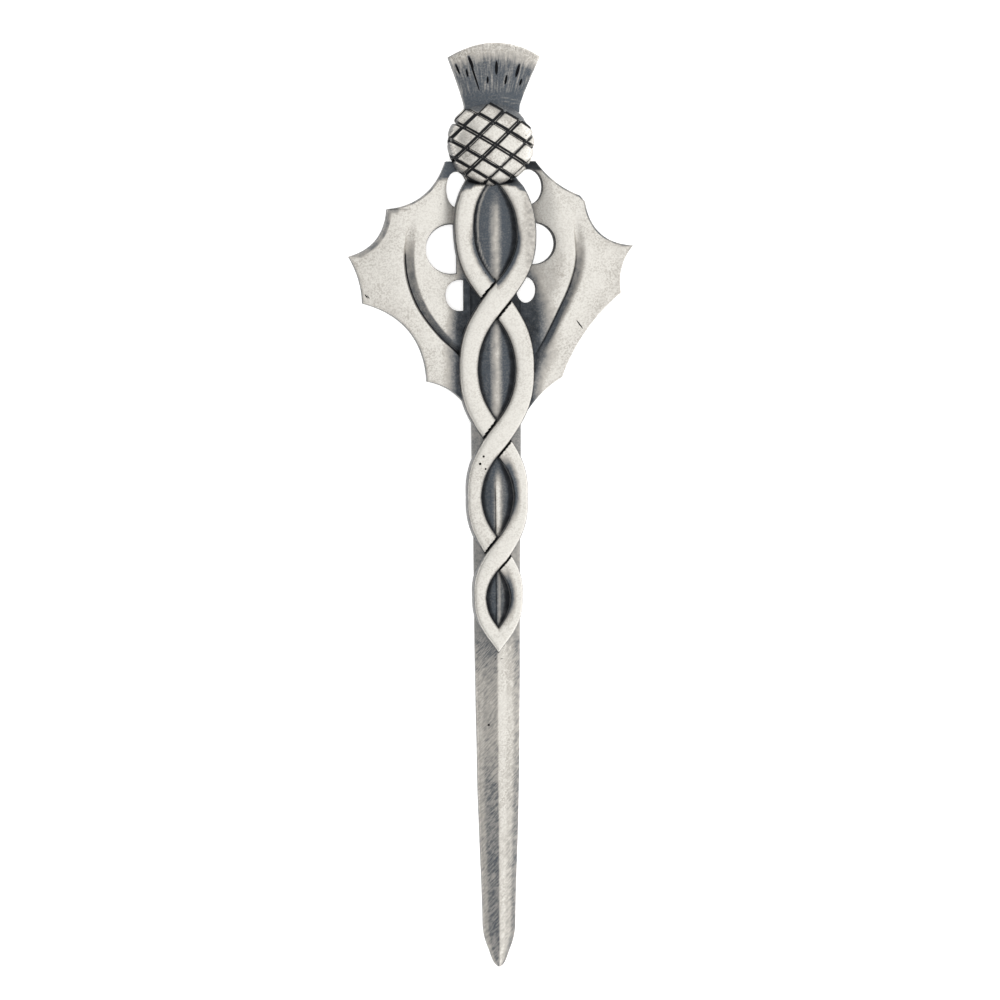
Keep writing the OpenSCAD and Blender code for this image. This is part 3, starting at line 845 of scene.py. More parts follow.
def blade_panel_tarnish_and_light(s, x, y, body):
    """Laid tarnish and blackening of the blade beside the strands, with a painted highlight on its ridge,
    painted light on its right slope and painted shade on its left slopes
    """
    down = twist_share(y)
    lower_loops, second_loop = fall(body, *BELOW_SECOND), fall(body, *BELOW_FIRST)
    third_loop = between(down, *THIRD_PANEL)
    loop = LOOPS[0] if down < LOOPS[0][LOOP_END] else LOOPS[1]
    share = (down - loop[LOOP_TOP]) / (loop[LOOP_END] - loop[LOOP_TOP])
    shown = between(share, *RIDGE_SHOWN)
    # Painted highlight: the glow and the bright line on the ridge take tarnish away where the convex panel
    # would catch the light
    painted_glow = fall(abs(s), *RIDGE_GLOW) * (1 + 0.3 * waviness(x, 0.3 * y, 0.5 * MM, seed=6.3))
    ridge_highlight = bell(s, RIDGE_PLACE, mix(*RIDGE_LINE_WIDTH, third_loop))
    # Painted light: the panel's right slope, which faces the light, takes less tarnish
    lit_right_slope = between(s, *LIT_RIGHT_SLOPE)
    upper = PANEL_UPPER - (mix(*PANEL_HIGHLIGHT_GLOW, second_loop) * painted_glow + PANEL_HIGHLIGHT_LINE * ridge_highlight) * shown
    lower = PANEL_LOWER - mix(*LOWER_HIGHLIGHT_LINE, third_loop) * ridge_highlight - LOWER_RIGHT_LIGHT * lit_right_slope
    leaf_zone = rise(y, leaf_foot_y() + 0.6 * MM, 2.5 * MM)
    out, half = beside_strand(x, y)
    flank = rise(out, 0.1 * MM, 0.2 * MM)
    flank_dull = FLANK_LEFT if x < 0 else mix(*FLANK_RIGHT, rise(body, *FLANK_CHANGE))
    dull = mix(mix(upper, lower, lower_loops), mix(flank_dull, 1.0, leaf_zone), flank)
    inside = -out - half
    # Painted highlight: a light line on the panel beside the first left strand, standing for a lit rim
    painted_light_line = bell(inside, 0.5 * MM, 0.12 * MM) * (x < 0) * fall(down, *PAINTED_LIGHT_LINE_END)
    # Blackening beside the strands: patina in the hollow, and, reaching further beside the strand on the
    # right, partly painted shadow of that strand
    hollow = fall(inside, mix(*HOLLOW_AND_SHADOW_REACH, smooth(s / 0.2)) * MM, 0.6 * MM) * (1 - flank)
    hollow *= 1 - 0.8 * painted_light_line
    # Painted shade: blackening on the left slope and left of the ridge, the sides that face away from the
    # light
    left_slope_shade = mix(*LEFT_SLOPE_SHADE, second_loop) * rise(-s, *LEFT_SLOPE)
    left_line_shade = LEFT_LINE_SHADE * bell(s, *LEFT_LINE) * lower_loops
    outside = LEAF_ZONE_BLACK * leaf_zone * flank
    black = max(HOLLOW_BLACK_AND_SHADOW * hollow, outside, left_line_shade, left_slope_shade * (1 - flank))
    return dull - PAINTED_LIGHT_LINE * painted_light_line, black


def beside_strand(x, y):
    """How far a place lies outside the middle of both strands, and a strand's half width there"""
    down = twist_share(y)
    for i, loop in enumerate(LOOPS):
        if loop[LOOP_TOP] <= down <= loop[LOOP_END]:
            f = (down - loop[LOOP_TOP]) / (loop[LOOP_END] - loop[LOOP_TOP])
            middle, along, width, lift = strand_at(i + min(f, 0.999), RIGHT)
            return abs(x - lean(y)) - abs(middle - lean(y)), width / 2
    return -MM, 0


def strand_at(t, side):
    """Middle of a strand t loops down from the bulb: place across and along, width and lift"""
    twist = pin().twist
    i = clamp(int(t), 0, len(LOOPS) - 1)
    f = t - i
    loop = LOOPS[i]
    wave = math.pi * (mix(FIRST_WAVE, 1, f) if i == 0 else f)
    reach = (math.sin(wave) + FLAT_WAVE * math.sin(3 * wave)) / (1 - FLAT_WAVE)
    y = pin().blade.length - twist.length * mix(loop[LOOP_TOP], loop[LOOP_END], f)
    turn = side if i % 2 == 0 else -side
    above = loop[LOOP_WIDTH] if i == 0 else LOOPS[i - 1][LOOP_WIDTH_END]
    if f < 0.5:
        width = mix(above, loop[LOOP_WIDTH], 2 * f)
    else:
        width = mix(loop[LOOP_WIDTH], loop[LOOP_WIDTH_END], 2 * f - 1)
    ends = (i == 0 and f < 0.5) or (i == len(LOOPS) - 1 and f > 0.5)
    lift = 0 if ends else -turn * math.cos(math.pi * f)
    x = turn * twist.spread * loop[LOOP_SPREAD] * reach + lean(y)
    return x, y, twist.width * width, lift


def distance_to_strand(x, y, path):
    """Distance from a place to the edge of a strand, and below 0 under it"""
    found = FAR
    for a, b in zip(path, path[1:]):
        if abs(a[1] - y) > NEAR:
            continue
        run = Vector((b[0] - a[0], b[1] - a[1]))
        t = clamp(Vector((x - a[0], y - a[1])).dot(run) / run.length_squared, 0, 1)
        near = math.hypot(x - a[0] - run.x * t, y - a[1] - run.y * t)
        found = min(found, near - mix(a[2], b[2], t) / 2)
    return found


def make_strand(side):
    twist = pin().twist
    columns, rows = 16, 560
    lead, tail = 1 / 12, 0.17
    path = [strand_at(mix(-lead, len(LOOPS) + tail, k / rows), side) for k in range(rows + 1)]
    other = [strand_at(mix(-lead, len(LOOPS) + tail, k / rows), -side) for k in range(0, rows + 1, 4)]
    crown, edge_roll, roundness = 0.09 * MM, 0.45 * MM, 6
    cut_floor, cut_gap = 1.55 * MM, 0.03 * MM
    dents = 0.02 * MM
    sink, sink_below = 1.4 * MM, 0.6 * MM

    def place(i, k):
        x, y, width, lift = path[k]
        x0, y0 = path[max(k - 1, 0)][:2]
        x1, y1 = path[min(k + 1, rows)][:2]
        run = math.hypot(x1 - x0, y1 - y0)
        s = across(i, columns, 1.5)
        x -= (y1 - y0) / run * width / 2 * s
        y += (x1 - x0) / run * width / 2 * s
        z = twist.height + twist.lift * max(lift, 0) ** 2
        z -= crown * s * s + edge_roll * (1 - (1 - abs(s) ** roundness) ** 0.5)
        z += dents * waviness(x, y, 1.6 * MM, seed=side + 9.3)
        z -= sink * rise(y, pin().blade.length - sink_below, 0.8 * MM)
        black = max(0.9 * rise(abs(s), 0.9, 0.1), 0.7 * low_patina(s, x, y, -0.55, 0.4))
        dull = strand_tarnish(s, x, y)
        if lift < -0.2:
            near = distance_to_strand(x, y, other)
            drop = fall(near, cut_gap, twist.cut_width)
            z = mix(z, min(cut_floor, z), drop)
            black = max(black, rise(drop, 0.55, 0.3))
            dull = max(dull, 0.7 * rise(drop, 0, 0.3))
        return Vector((x, y, z)), dull, black

    return solid("strand", close_back(sheet(columns, rows, place)), STRAND_METAL, STRAND_WALLS)


def strand_tarnish(s, x, y):
    """Laid tarnish of a place on a strand, s being its share across from the left edge to the right"""
    out = x - lean(y)
    down = twist_share(y)
    inner_side = max(-s if out > 0 else s, 0)
    dull = STRAND_TOP + STRAND_EDGE * rise(abs(s), *EDGE_FADE) + STRAND_INNER * rise(inner_side, *INNER_FADE)
    first_end = between(down, *FIRST_LOOP_REST)
    dull += FIRST_LOOP_INNER * rise(inner_side, *BROAD_INNER_FADE) * first_end
    dull += low_patina(s, x, y, 0.3, 1.0)
    if out > 0:
        patches = 0.6 + 0.5 * waviness(x, y, 0.3 * MM, seed=2.9)
        dull += STRAND_PATCHES * fall(down, *PATCHES_END) * rise(out, 2.6 * MM, MM) * patches
        dull += DULLER_LOOP * fall(down, *FIRST_LOOP_END)
    else:
        dull += DULLER_LOOP * between(down, *THIRD_LOOP)
    shade = pin().blade.length + 0.08 * MM - 0.42 * abs(out) + 0.25 * MM * waviness(x, y, 0.6 * MM, seed=8.1)
    return max(dull, BULB_SHADE * rise(y, shade, 0.35 * MM))


def low_patina(s, x, y, reach, soft):
    """Dark fade from the inner edge of the right strands in the last two loops"""
    out = x - lean(y)
    down = twist_share(y)
    loop_end = 0.8 if down < 0.81 else 1.02
    along = rise(down, 0.53, 0.09) * fall(down, loop_end - 0.12, 0.1)
    return along * fall(s, reach - soft, soft) * rise(out, 0.1 * MM, 1.3 * MM)


def strand_mitre(side):
    """Box over what a strand's end has on one side of the axis"""
    end_y = strand_at(len(LOOPS), side)[1]
    box = Vector((4 * MM, 6 * MM, 8 * MM))
    bm = bmesh.new()
    bmesh.ops.create_cube(bm, size=1)
    bmesh.ops.scale(bm, vec=box, verts=bm.verts)
    bmesh.ops.translate(bm, vec=(side * box.x / 2, end_y + MM, 0), verts=bm.verts)
    return solid("mitre", bm, STRAND_METAL, MITRE_WALLS)


def mitred_strand(side):
    end_side = -side if len(LOOPS) % 2 == 0 else side
    return pierced(make_strand(side), [strand_mitre(-end_side)])


def leaf_span(shape):
    return pin().leaf.left_span if shape.side == LEFT else pin().leaf.right_span


def leaf_outline(shape):
    """Points of a leaf's edge from foot to neck, as distance from the axis and place along the pin"""
    points = []
    span, height = leaf_span(shape), pin().leaf.height
    at = [Vector((out * span, leaf_foot_y() + up * height)) for out, up, hollow in shape.cusps]
    for i, (out, up, hollow) in enumerate(shape.cusps[:-1]):
        chord = at[i + 1] - at[i]
        inward = Vector((-chord.y, chord.x)) * hollow
        rows = max(3, round(LEAF_ROWS * chord.length / LEAF_ARC))
        points += [at[i] + chord * f + inward * 4 * f * (1 - f) for f in (k / rows for k in range(rows))]
    return points + [at[-1]]


def rim_distance(x, y, outline):
    """Distance from a place on a leaf to its outer edge, where that is near"""
    found = NEAR
    place = Vector((x, y))
    for a, b in zip(outline, outline[1:]):
        if min(abs(a.y - y), abs(a.x - x)) > found:
            continue
        run = b - a
        t = clamp((place - a).dot(run) / run.length_squared, 0, 1)
        found = min(found, (place - a - run * t).length)
    return found


def hole_edge(shape, x, y):
    """Distance from a place to the nearest hole of a leaf"""
    found = FAR
    span, height = leaf_span(shape), pin().leaf.height
    for out, up, half_w, half_h, straight in shape.holes:
        dx = (x - out * span) / (half_w * span)
        dy = (y - leaf_foot_y() - up * height) / (half_h * height)
        found = min(found, (math.hypot(dx, dy) - 1) * half_w * span)
    return max(found, 0)


def valley_at(shape, y):
    """Where a leaf's valley begins, its bottom, where it ends, and its depth as a share"""
    leaf = pin().leaf
    up, out, depth = row_at(shape.valley, leaf_share(y))
    inner, outer = leaf.valley_slope, leaf.valley_wall
    if shape.side == RIGHT:
        inner, outer = outer, inner
    bottom = out * leaf_span(shape)
    return bottom - inner, bottom, bottom + outer, clamp(depth, 0, 1)


def leaf_top(shape, x, y, edge, chamfer):
    """Height of a leaf over the back, edge being the distance to its rim"""
    leaf = pin().leaf
    inner, bottom, outer, depth = valley_at(shape, y)
    sunk = leaf.thickness - leaf.valley_depth * depth
    crest = leaf.root + (leaf.thickness - leaf.root) * rise(inner, 2.4 * MM, 2 * MM)
    lobe = mix(leaf.root, crest, rise(x / max(inner, MM), 0.4, 0.5))
    if x < bottom:
        z = mix(lobe, min(sunk, lobe), smooth((x - inner) / (bottom - inner)))
    else:
        far_edge = leaf_span(shape) * OUTER_LOBE_END
        brow = mix(leaf.thickness, leaf.rim, smooth((x - outer) / max(far_edge - outer, MM)))
        z = mix(min(sunk, brow), brow, smooth((x - bottom) / (outer - bottom)))
    z += LEAF_DENTS * waviness(x, y, 1.8 * MM, seed=leaf_span(shape) / MM)
    z -= HOLE_ROLL_DEPTH * (1 - min(hole_edge(shape, x, y) / HOLE_ROLL_WIDTH, 1)) ** 2
    roll = 1 - min(edge / chamfer, 1)
    return z - RIM_ROLL * chamfer * (1 - math.sqrt(max(1 - roll * roll, 0)))


def leaf_tarnish(shape, x, y, edge, chamfer):
    """Laid tarnish and blackening of a place on a leaf"""
    look = shape.tarnish
    up = leaf_share(y)
    inner, bottom, outer, depth = valley_at(shape, y)
    low = fall(up, *LOW_VALLEY)
    patches = waviness(x, y, 0.7 * MM, seed=5.5)
    band = look.band * rise(x, inner + look.band_start * MM, look.band_rise * MM)
    band *= fall(x, bottom + look.band_end * MM, look.band_fall * MM)
    band *= (mix(*VALLEY_TARNISH, low) + 0.15 * patches) * depth
    off_line, line_half = abs(x - bottom - look.line_place * MM), look.line_half * MM
    crease = look.line * fall(off_line, line_half, 2 * line_half) * depth * fall(up, *CREASE_END)
    deep = low if shape.side == LEFT else between(up, *WIDE_ROOT)
    reach, soft = (mix(least, most, deep) * MM for least, most in zip(look.root_least, look.root_most))
    root = fall(x, reach, soft) * fall(up, *ROOT_END)
    # Darker near the rim, low down and towards the tips, and on the inner slope
    dulling = RIM_DULLING * fall(edge, 0, 2.4 * MM) * (0.8 + 0.5 * waviness(x, y, 2.5 * MM, seed=4.4))
    dulling += LOW_DULLING * fall(up, *LOW_DULLING_END) + TIP_DULLING * rise(x, 9 * MM, 3 * MM)
    dulling += look.inner_slope * smooth((inner - x) / (1.6 * MM)) * fall(up, *INNER_SLOPE_END)
    neck = rise(up, look.neck - look.neck_slant * x / MM, 0.02)
    rim = RIM_GROUND if chamfer == GROUND_CHAMFER else mix(*RIM_TARNISH, rise(up, *HIGH_RIM))
    rim *= fall(edge, 0.8 * chamfer, 0.3 * chamfer) * (1 + 0.4 * patches)
    hole = HOLE_TARNISH * fall(hole_edge(shape, x, y), 0, 0.3 * MM)
    black = max(crease, ROOT_BLACK * rise(root, 0.8, 0.2), look.neck_black * neck, 0)
    return max(band, root, neck, rim, hole, dulling), black


def make_leaf(shape):
    outline = leaf_outline(shape)
    rows = len(outline) - 1
    zones = [(zone, k / n) for zone, n in enumerate(LEAF_COLUMNS) for k in range(n)]
    zones.append((len(LEAF_COLUMNS), 0))
    cusp_ups = [up for out, up, hollow in shape.cusps]
    ground_low, ground_high = (cusp_ups[n] for n in GROUND_CUSPS)

    def place(i, k):
        out, y = outline[k]
        before, after = outline[max(k - 1, 0)], outline[min(k + 1, rows)]
        slant = math.hypot(1, (after.x - before.x) / max(after.y - before.y, 1e-6))
        ground = shape.side == LEFT and ground_low < leaf_share(y) < ground_high
        chamfer = GROUND_CHAMFER if ground else RIM_CHAMFER
        inner, bottom, outer, depth = valley_at(shape, y)
        knots = [0, inner, bottom, outer, out - chamfer * slant, out]
        for n in range(len(knots) - 2, 0, -1):
            knots[n] = min(knots[n], knots[n + 1] - LEAST_ZONE)
        zone, share = zones[i]
        x = knots[zone] if share == 0 else mix(knots[zone], knots[zone + 1], share)
        form = (shape, x, y, rim_distance(x, y, outline), chamfer)
        return (Vector((shape.side * x, y, leaf_top(*form))), *leaf_tarnish(*form))

    return solid("leaf", close_back(sheet(sum(LEAF_COLUMNS), rows, place)), LEAF_METAL, LEAF_WALLS)


def leaf_holes(shape):
    """Cutters for the holes of a leaf"""
    return [leaf_hole(shape, *row) for row in shape.holes]


def leaf_hole(shape, out, up, half_w, half_h, straight):
    span, height = shape.side * leaf_span(shape), pin().leaf.height
    bm = bmesh.new()
    bmesh.ops.create_cone(
        bm, cap_ends=True, segments=64, radius1=1 - HOLE_TAPER, radius2=1 + HOLE_TAPER, depth=8 * MM)
    bmesh.ops.scale(bm, vec=(half_w * abs(span), half_h * height, 1), verts=bm.verts)
    bmesh.ops.translate(bm, vec=(out * span, leaf_foot_y() + up * height, 0), verts=bm.verts)
    cut_away(bm, (straight * span, 0, 0), (shape.side, 0, 0))
    return solid("hole", bm, LEAF_METAL, HOLE_WALLS)


def groove_normals():
    """Direction across each family of grooves"""
    return [
        Vector((math.sin(math.radians(abs(s))), math.copysign(math.cos(math.radians(s)), s)))
        for s in GROOVE_SLOPES
    ]


def lattice_lines(angles):
    """Angles of the sheet's lines over one family of grooves, closer together beside a groove"""
    stops = [-90 - PAST_DOME] + list(angles) + [90 + PAST_DOME]
    lines = [mix(a, b, f) for a, b in zip(stops, stops[1:]) for f in SCALE_LINES]
    return lines + [stops[-1]]


def groove_share(angle, angles, half, soft):
    """1 in a groove at an angle, falling off between two distances in degrees"""
    away = min(abs(angle - g) for g in angles)
    return fall(away, half, soft)


def groove_black(angle, angles):
    """Blackening of a groove, less along the middle of its floor"""
    floor = groove_share(angle, angles, *GROOVE_FLOOR)
    return groove_share(angle, angles, *GROOVE_BLACK) - FLOOR_BARE * floor


def dome_reach(angle):
    """Sine of an angle, carried on in a straight line where the dome is nearly upright"""
    if abs(angle) <= DOME_STEEP:
        return math.sin(math.radians(angle))
    steep = math.sin(math.radians(DOME_STEEP))
    return math.copysign(steep + (abs(angle) - DOME_STEEP) * STEEP_STEP, angle)


def make_bulb():
    thistle = pin().thistle
    normals = groove_normals()
    det = normals[0].x * normals[1].y - normals[0].y * normals[1].x
    lines = [lattice_lines(angles) for angles in GROOVE_ANGLES]
    radius = bulb_radius()
    dome = thistle.bulb_height - thistle.bulb_side

    def place(i, k):
        lattice = lines[0][i], lines[1][k]
        a, b = lattice
        da, db = dome_reach(a), dome_reach(b)
        x = (da * normals[1].y - db * normals[0].y) / det
        y = (normals[0].x * db - normals[1].x * da) / det
        far = math.hypot(x, y)
        if far < 1:
            z = math.sqrt(1 - far * far)
        else:
            x, y, z = x / far, y / far, -(far - 1) * 2
        covered = a > COVERED_FROM or (b < COVERED_BELOW and a > TOP_ROW)
        cut = max(groove_share(*family, *GROOVE_CUT) for family in zip(lattice, GROOVE_ANGLES))
        hollow = max(groove_share(*family, *GROOVE_HOLLOW) for family in zip(lattice, GROOVE_ANGLES))
        sink = COVERED_SINK if covered else CUT_SHARE * cut + (1 - CUT_SHARE) * hollow
        scale = 1 - thistle.groove * sink / radius
        scale += BULB_DENTS / radius * waviness(x * radius, y * radius, 1.3 * MM, seed=5.5)
        x, y = x * radius * scale, y * radius * scale
        z = thistle.bulb_side + z * dome * (scale if z > 0 else 1)
        top_row = rise(a, TOP_ROW, 20) * fall(b, -10, 30)
        dulling = max(waviness(x, y, 1.1 * MM, seed=6.1), 0)
        dull = SCALE_TARNISH + HOLLOW_TARNISH * hollow + TOP_ROW_TARNISH * top_row + SCALE_PATCHES * dulling
        black = max(groove_black(*family) for family in zip(lattice, GROOVE_ANGLES))
        if covered:
            dull, black = COVERED_TARNISH, 0
        foot = rise(far, 0.955, 0.035) * rise(-y / radius, 0.7, 0.15)
        return Vector((x + lean(bulb_y()), y + bulb_y(), z)), dull, max(black, FOOT_BLACK * foot)

    bm = close_back(sheet(len(lines[0]) - 1, len(lines[1]) - 1, place), -9 * MM)
    cut_away(bm, (0, 0, 0), (0, 0, 1), 1e-8)
    for v in bm.verts:
        draft = 1 - BULB_DRAFT * fall(v.co.z, 0, thistle.bulb_side)
        v.co.x = mix(lean(bulb_y()), v.co.x, draft)
        v.co.y = mix(bulb_y(), v.co.y, draft)
    return solid("bulb", bm, BULB_METAL, BULB_WALLS)


def crown_point(v, u):
    """Point on the front of the crown, v from neck to rim and u across it as an angle"""
    thistle = pin().thistle
    half = (thistle.neck_width + (thistle.rim_width - thistle.neck_width) * max(v, 0) ** CROWN_FLARE) / 2
    top = mix(thistle.neck_thickness, thistle.rim_thickness, v)
    y = mix(crown_foot_y(), crown_corner_y(), v)
    arc = thistle.arc_rise * max(v, 0) * math.cos(u) ** 2
    z = thistle.crown_edge + (top - thistle.crown_edge) * math.cos(u) ** CROWN_DOME
    return Vector((half * math.sin(u) + lean(y), y + arc, z))


def streaks(u, v, crosswise, lengthwise, seed):
    """Streaks of the crown, many across and few along it, from -1 to 1"""
    return noise.noise(Vector((crosswise * math.sin(u), lengthwise * v, seed)))


def make_crown():
    columns, rows = 150, 60
    foot = -0.12
    rim_roll, collar_height = 0.25 * MM, 0.07 * MM

    def place(i, k):
        u = math.pi * (i / columns - 0.5)
        v = mix(foot, 1, 1 - (1 - k / rows) ** 1.15)
        p = crown_point(v, u)
        streak = streaks(u, v, *BROAD_STREAKS, seed=4.2)
        fine = streaks(u, v, *FINE_STREAKS, seed=8.8)
        short = max(streaks(u, v, *BRIGHT_STREAKS, seed=1.3), 0) * rise(v, *ABOVE_COLLAR)
        collar = abs(abs(v - COLLAR - COLLAR_WAVE * math.cos(2 * u + 0.6)) - COLLAR_HALF)
        ridge = fall(collar, 0, COLLAR_FADE)
        p.z -= MM * (0.05 * streak + 0.04 * fine) * smooth(v / 0.3) * math.cos(u)
        p.z += collar_height * ridge
        p.z -= rim_roll * rise(v, 0.965, 0.035) ** 2
        bare = smooth((v - 0.66 + 0.08 * streak + 0.06 * fine) / 0.26)
        dull = mix(*CROWN_TARNISH, smooth(v / 0.4)) - CROWN_BARE * bare + 0.12 * streak
        # Painted highlight: the collar lines' right half, which faces the light, takes less tarnish
        dull -= max(SHORT_STREAKS * short * (1 - bare), COLLAR_HIGHLIGHT * ridge * smooth(2 * math.sin(u)))
        near = slit_distance(p)
        dull = max(dull, SLIT_TARNISH * fall(near, 0.1 * MM, 0.32 * MM))
        return p, clamp(dull, 0.08, 1), SLIT_BLACK * fall(near, 0, 0.28 * MM)

    return solid("crown", close_back(sheet(columns, rows, place)), CROWN_METAL, CROWN_WALLS)


def slit_ends(low_across, low, high_across, high):
    """Both ends of a slit on the front of the crown"""
    return crown_point(low, math.asin(low_across)), crown_point(high, math.asin(high_across))


def slit_distance(p):
    """Distance from a place on the crown to the nearest slit, more for a narrow slit"""
    found = FAR
    for *ends, width in CROWN_SLITS:
        a, b = slit_ends(*ends)
        t = clamp((p - a).dot(b - a) / (b - a).length_squared, 0, 1)
        found = min(found, (p - a - (b - a) * t).length / mix(0.5, 1, width))
    return found


def crown_slit(*row):
    *ends, width = row
    return graver(*slit_ends(*ends), pin().thistle.slit * width, SLIT_DEPTH, CROWN_METAL)


def graver(start, end, width, depth, slot):
    """Slender ellipsoid that cuts one slit or nick"""
    run = end - start
    bm = bmesh.new()
    bmesh.ops.create_uvsphere(bm, u_segments=16, v_segments=10, radius=1)
    bmesh.ops.scale(bm, vec=(width / 2, depth, run.length * 0.55), verts=bm.verts)
    turn = run.to_track_quat("Z", "Y").to_matrix()
    bmesh.ops.rotate(bm, cent=(0, 0, 0), matrix=turn, verts=bm.verts)
    bmesh.ops.translate(bm, vec=(start + end) / 2, verts=bm.verts)
    return solid("slit", bm, slot, MARK_WALLS)


def leaf_nick(x0, y0, x1, y1, height, width):
    start, end = Vector((x0, y0, height)) * MM, Vector((x1, y1, height)) * MM
    return graver(start, end, width * MM, NICK_DEPTH, LEAF_METAL)


def casting_pit(x, y, z, radius):
    """Upright ellipsoid that cuts one pit"""
    bm = bmesh.new()
    bmesh.ops.create_icosphere(bm, subdivisions=2, radius=radius * MM)
    bmesh.ops.scale(bm, vec=(1, 1, 3), verts=bm.verts)
    bmesh.ops.translate(bm, vec=Vector((x, y, z)) * MM, verts=bm.verts)
    return solid("pit", bm, STRAND_METAL, MARK_WALLS)


def dome_directions(count):
    """Directions spread evenly over a half sphere, closer together straight up"""
    golden = math.pi * (3 - math.sqrt(5))
    dome = []
    for k in range(count):
        up = math.sqrt(1 - (k + 0.5) / count)
        flat = math.sqrt(1 - up * up)
        dome.append(Vector((flat * math.cos(golden * k), flat * math.sin(golden * k), up)))
    return dome


def recess_of(mesh):
    """For each vertex, the share of directions over its surface that other metal blocks"""
    bm = bmesh.new()
    bm.from_mesh(mesh)
    tree = BVHTree.FromBMesh(bm)
    dome = dome_directions(RECESS_RAYS)
    found = []
    for v in bm.verts:
        turn = v.normal.to_track_quat("Z", "Y")
        start = v.co + v.normal * RECESS_START
        blocked = 0
        for d in dome:
            hit = tree.ray_cast(start, turn @ d, RECESS_REACH)
            if hit[0] is not None:
                blocked += 1 - RECESS_FADE * hit[3] / RECESS_REACH
        found.append(blocked / RECESS_RAYS)
    bm.free()
    return found


def lay_tarnish_and_painted_light(mesh):
    """Writes the attribute of patina and painted light: recess, laid tarnish and laid blackening of each
    corner, with painted shade added on steep faces that face away from the light
    """
    recess = recess_of(mesh)
    laid = mesh.attributes["laid"]
    wear_and_painted_light = mesh.color_attributes.new("wear_and_painted_light", "FLOAT_COLOR", "CORNER")
    for face in mesh.polygons:
        # Painted shade on steep faces, most on those facing away from the light
        away_from_light = mix(TOWARD_LIGHT, 1, smooth(0.5 - 2 * face.normal.x))
        steep = smooth((0.82 - face.normal.z) / 0.45) * away_from_light
        for i in face.loop_indices:
            tarnish, black = laid.data[i].color[:2]
            tarnish, black = max(tarnish, STEEP_PAINTED_SHADE * steep), max(black, STEEP_PAINTED_BLACK * steep)
            wear_and_painted_light.data[i].color = (recess[mesh.loops[i].vertex_index], tarnish, black, 1)
    mesh.attributes.remove(mesh.attributes["laid"])


def total_length():
    return crown_corner_y() + pin().thistle.arc_rise


def along_in_frame(y):
    return y + CAST_HIGH.y - total_length()


def into_frame(mesh):
    """Moves a mesh from the pin's own place, point first and back down, to the frame"""
    axis_x = CAST_LOW.x + pin().leaf.left_span
    mesh.transform(Matrix.Translation((axis_x, along_in_frame(0), CAST_LOW.z)))


def node(tree, kind, **values):
    """Node with its settings, and its inputs' values or sources given by name or number"""
    made = tree.nodes.new(kind)
    inputs = values.pop("inputs", {})
    for name, value in values.items():
        setattr(made, name, value)
    for key, value in inputs.items():
        if isinstance(value, bpy.types.NodeSocket):
            tree.links.new(value, made.inputs[key])
        else:
            made.inputs[key].default_value = value
    return made


def math_node(tree, operation, a, b, clamped=False):
    return node(
        tree, "ShaderNodeMath", operation=operation, use_clamp=clamped, inputs={0: a, 1: b}).outputs[0]


def times(tree, a, b):
    return math_node(tree, "MULTIPLY", a, b)


def plus(tree, a, b, clamped=False):
    return math_node(tree, "ADD", a, b, clamped)


def less(tree, a, b, clamped=False):
    return math_node(tree, "SUBTRACT", a, b, clamped)


def larger(tree, a, b):
    return math_node(tree, "MAXIMUM", a, b)


def ramp(tree, value, low, high, to_low=0.0, to_high=1.0):
    """Smooth step of a value, from one result at low to another at high"""
    return node(tree, "ShaderNodeMapRange", interpolation_type="SMOOTHSTEP", inputs={
        "Value": value, "From Min": low, "From Max": high, "To Min": to_low, "To Max": to_high,
    }).outputs["Result"]


def noise_node(tree, vector, scale, detail=2.0, rough=0.5):
    return node(tree, "ShaderNodeTexNoise", inputs={
        "Vector": vector, "Scale": scale, "Detail": detail, "Roughness": rough,
    }).outputs["Fac"]


def colour_mix(tree, factor, a, b):
    made = node(tree, "ShaderNodeMix", data_type="RGBA", inputs={0: factor, 6: a, 7: b})
    return made.outputs[2]


def opaque(colour):
    return (*colour, 1)


def new_material(name):
    """Material with its node tree and its shader"""
    material = bpy.data.materials.new(name)
    material.use_nodes = True
    return material, material.node_tree, material.node_tree.nodes["Principled BSDF"]


def bump_output(tree, height, strength, distance):
    return node(tree, "ShaderNodeBump", inputs={
        "Height": height, "Strength": strength, "Distance": distance}).outputs[0]


def object_place(tree):
    return tree.nodes.new("ShaderNodeTexCoord").outputs["Object"]


def placed(tree, name, effect, entry, value):
    """Outputs of a node group, placed with its own value for the group's one input"""
    group = bpy.data.node_groups.get(name)
    if group is None:
        group = bpy.data.node_groups.new(name, "ShaderNodeTree")
        group.interface.new_socket(name=entry, in_out="INPUT", socket_type="NodeSocketFloat")
        outputs = effect(group, group.nodes.new("NodeGroupInput").outputs[entry])
        for key in outputs:
            group.interface.new_socket(name=key, in_out="OUTPUT", socket_type="NodeSocketFloat")
        node(group, "NodeGroupOutput", inputs=outputs)
    return node(tree, "ShaderNodeGroup", node_tree=group, inputs={entry: value}).outputs


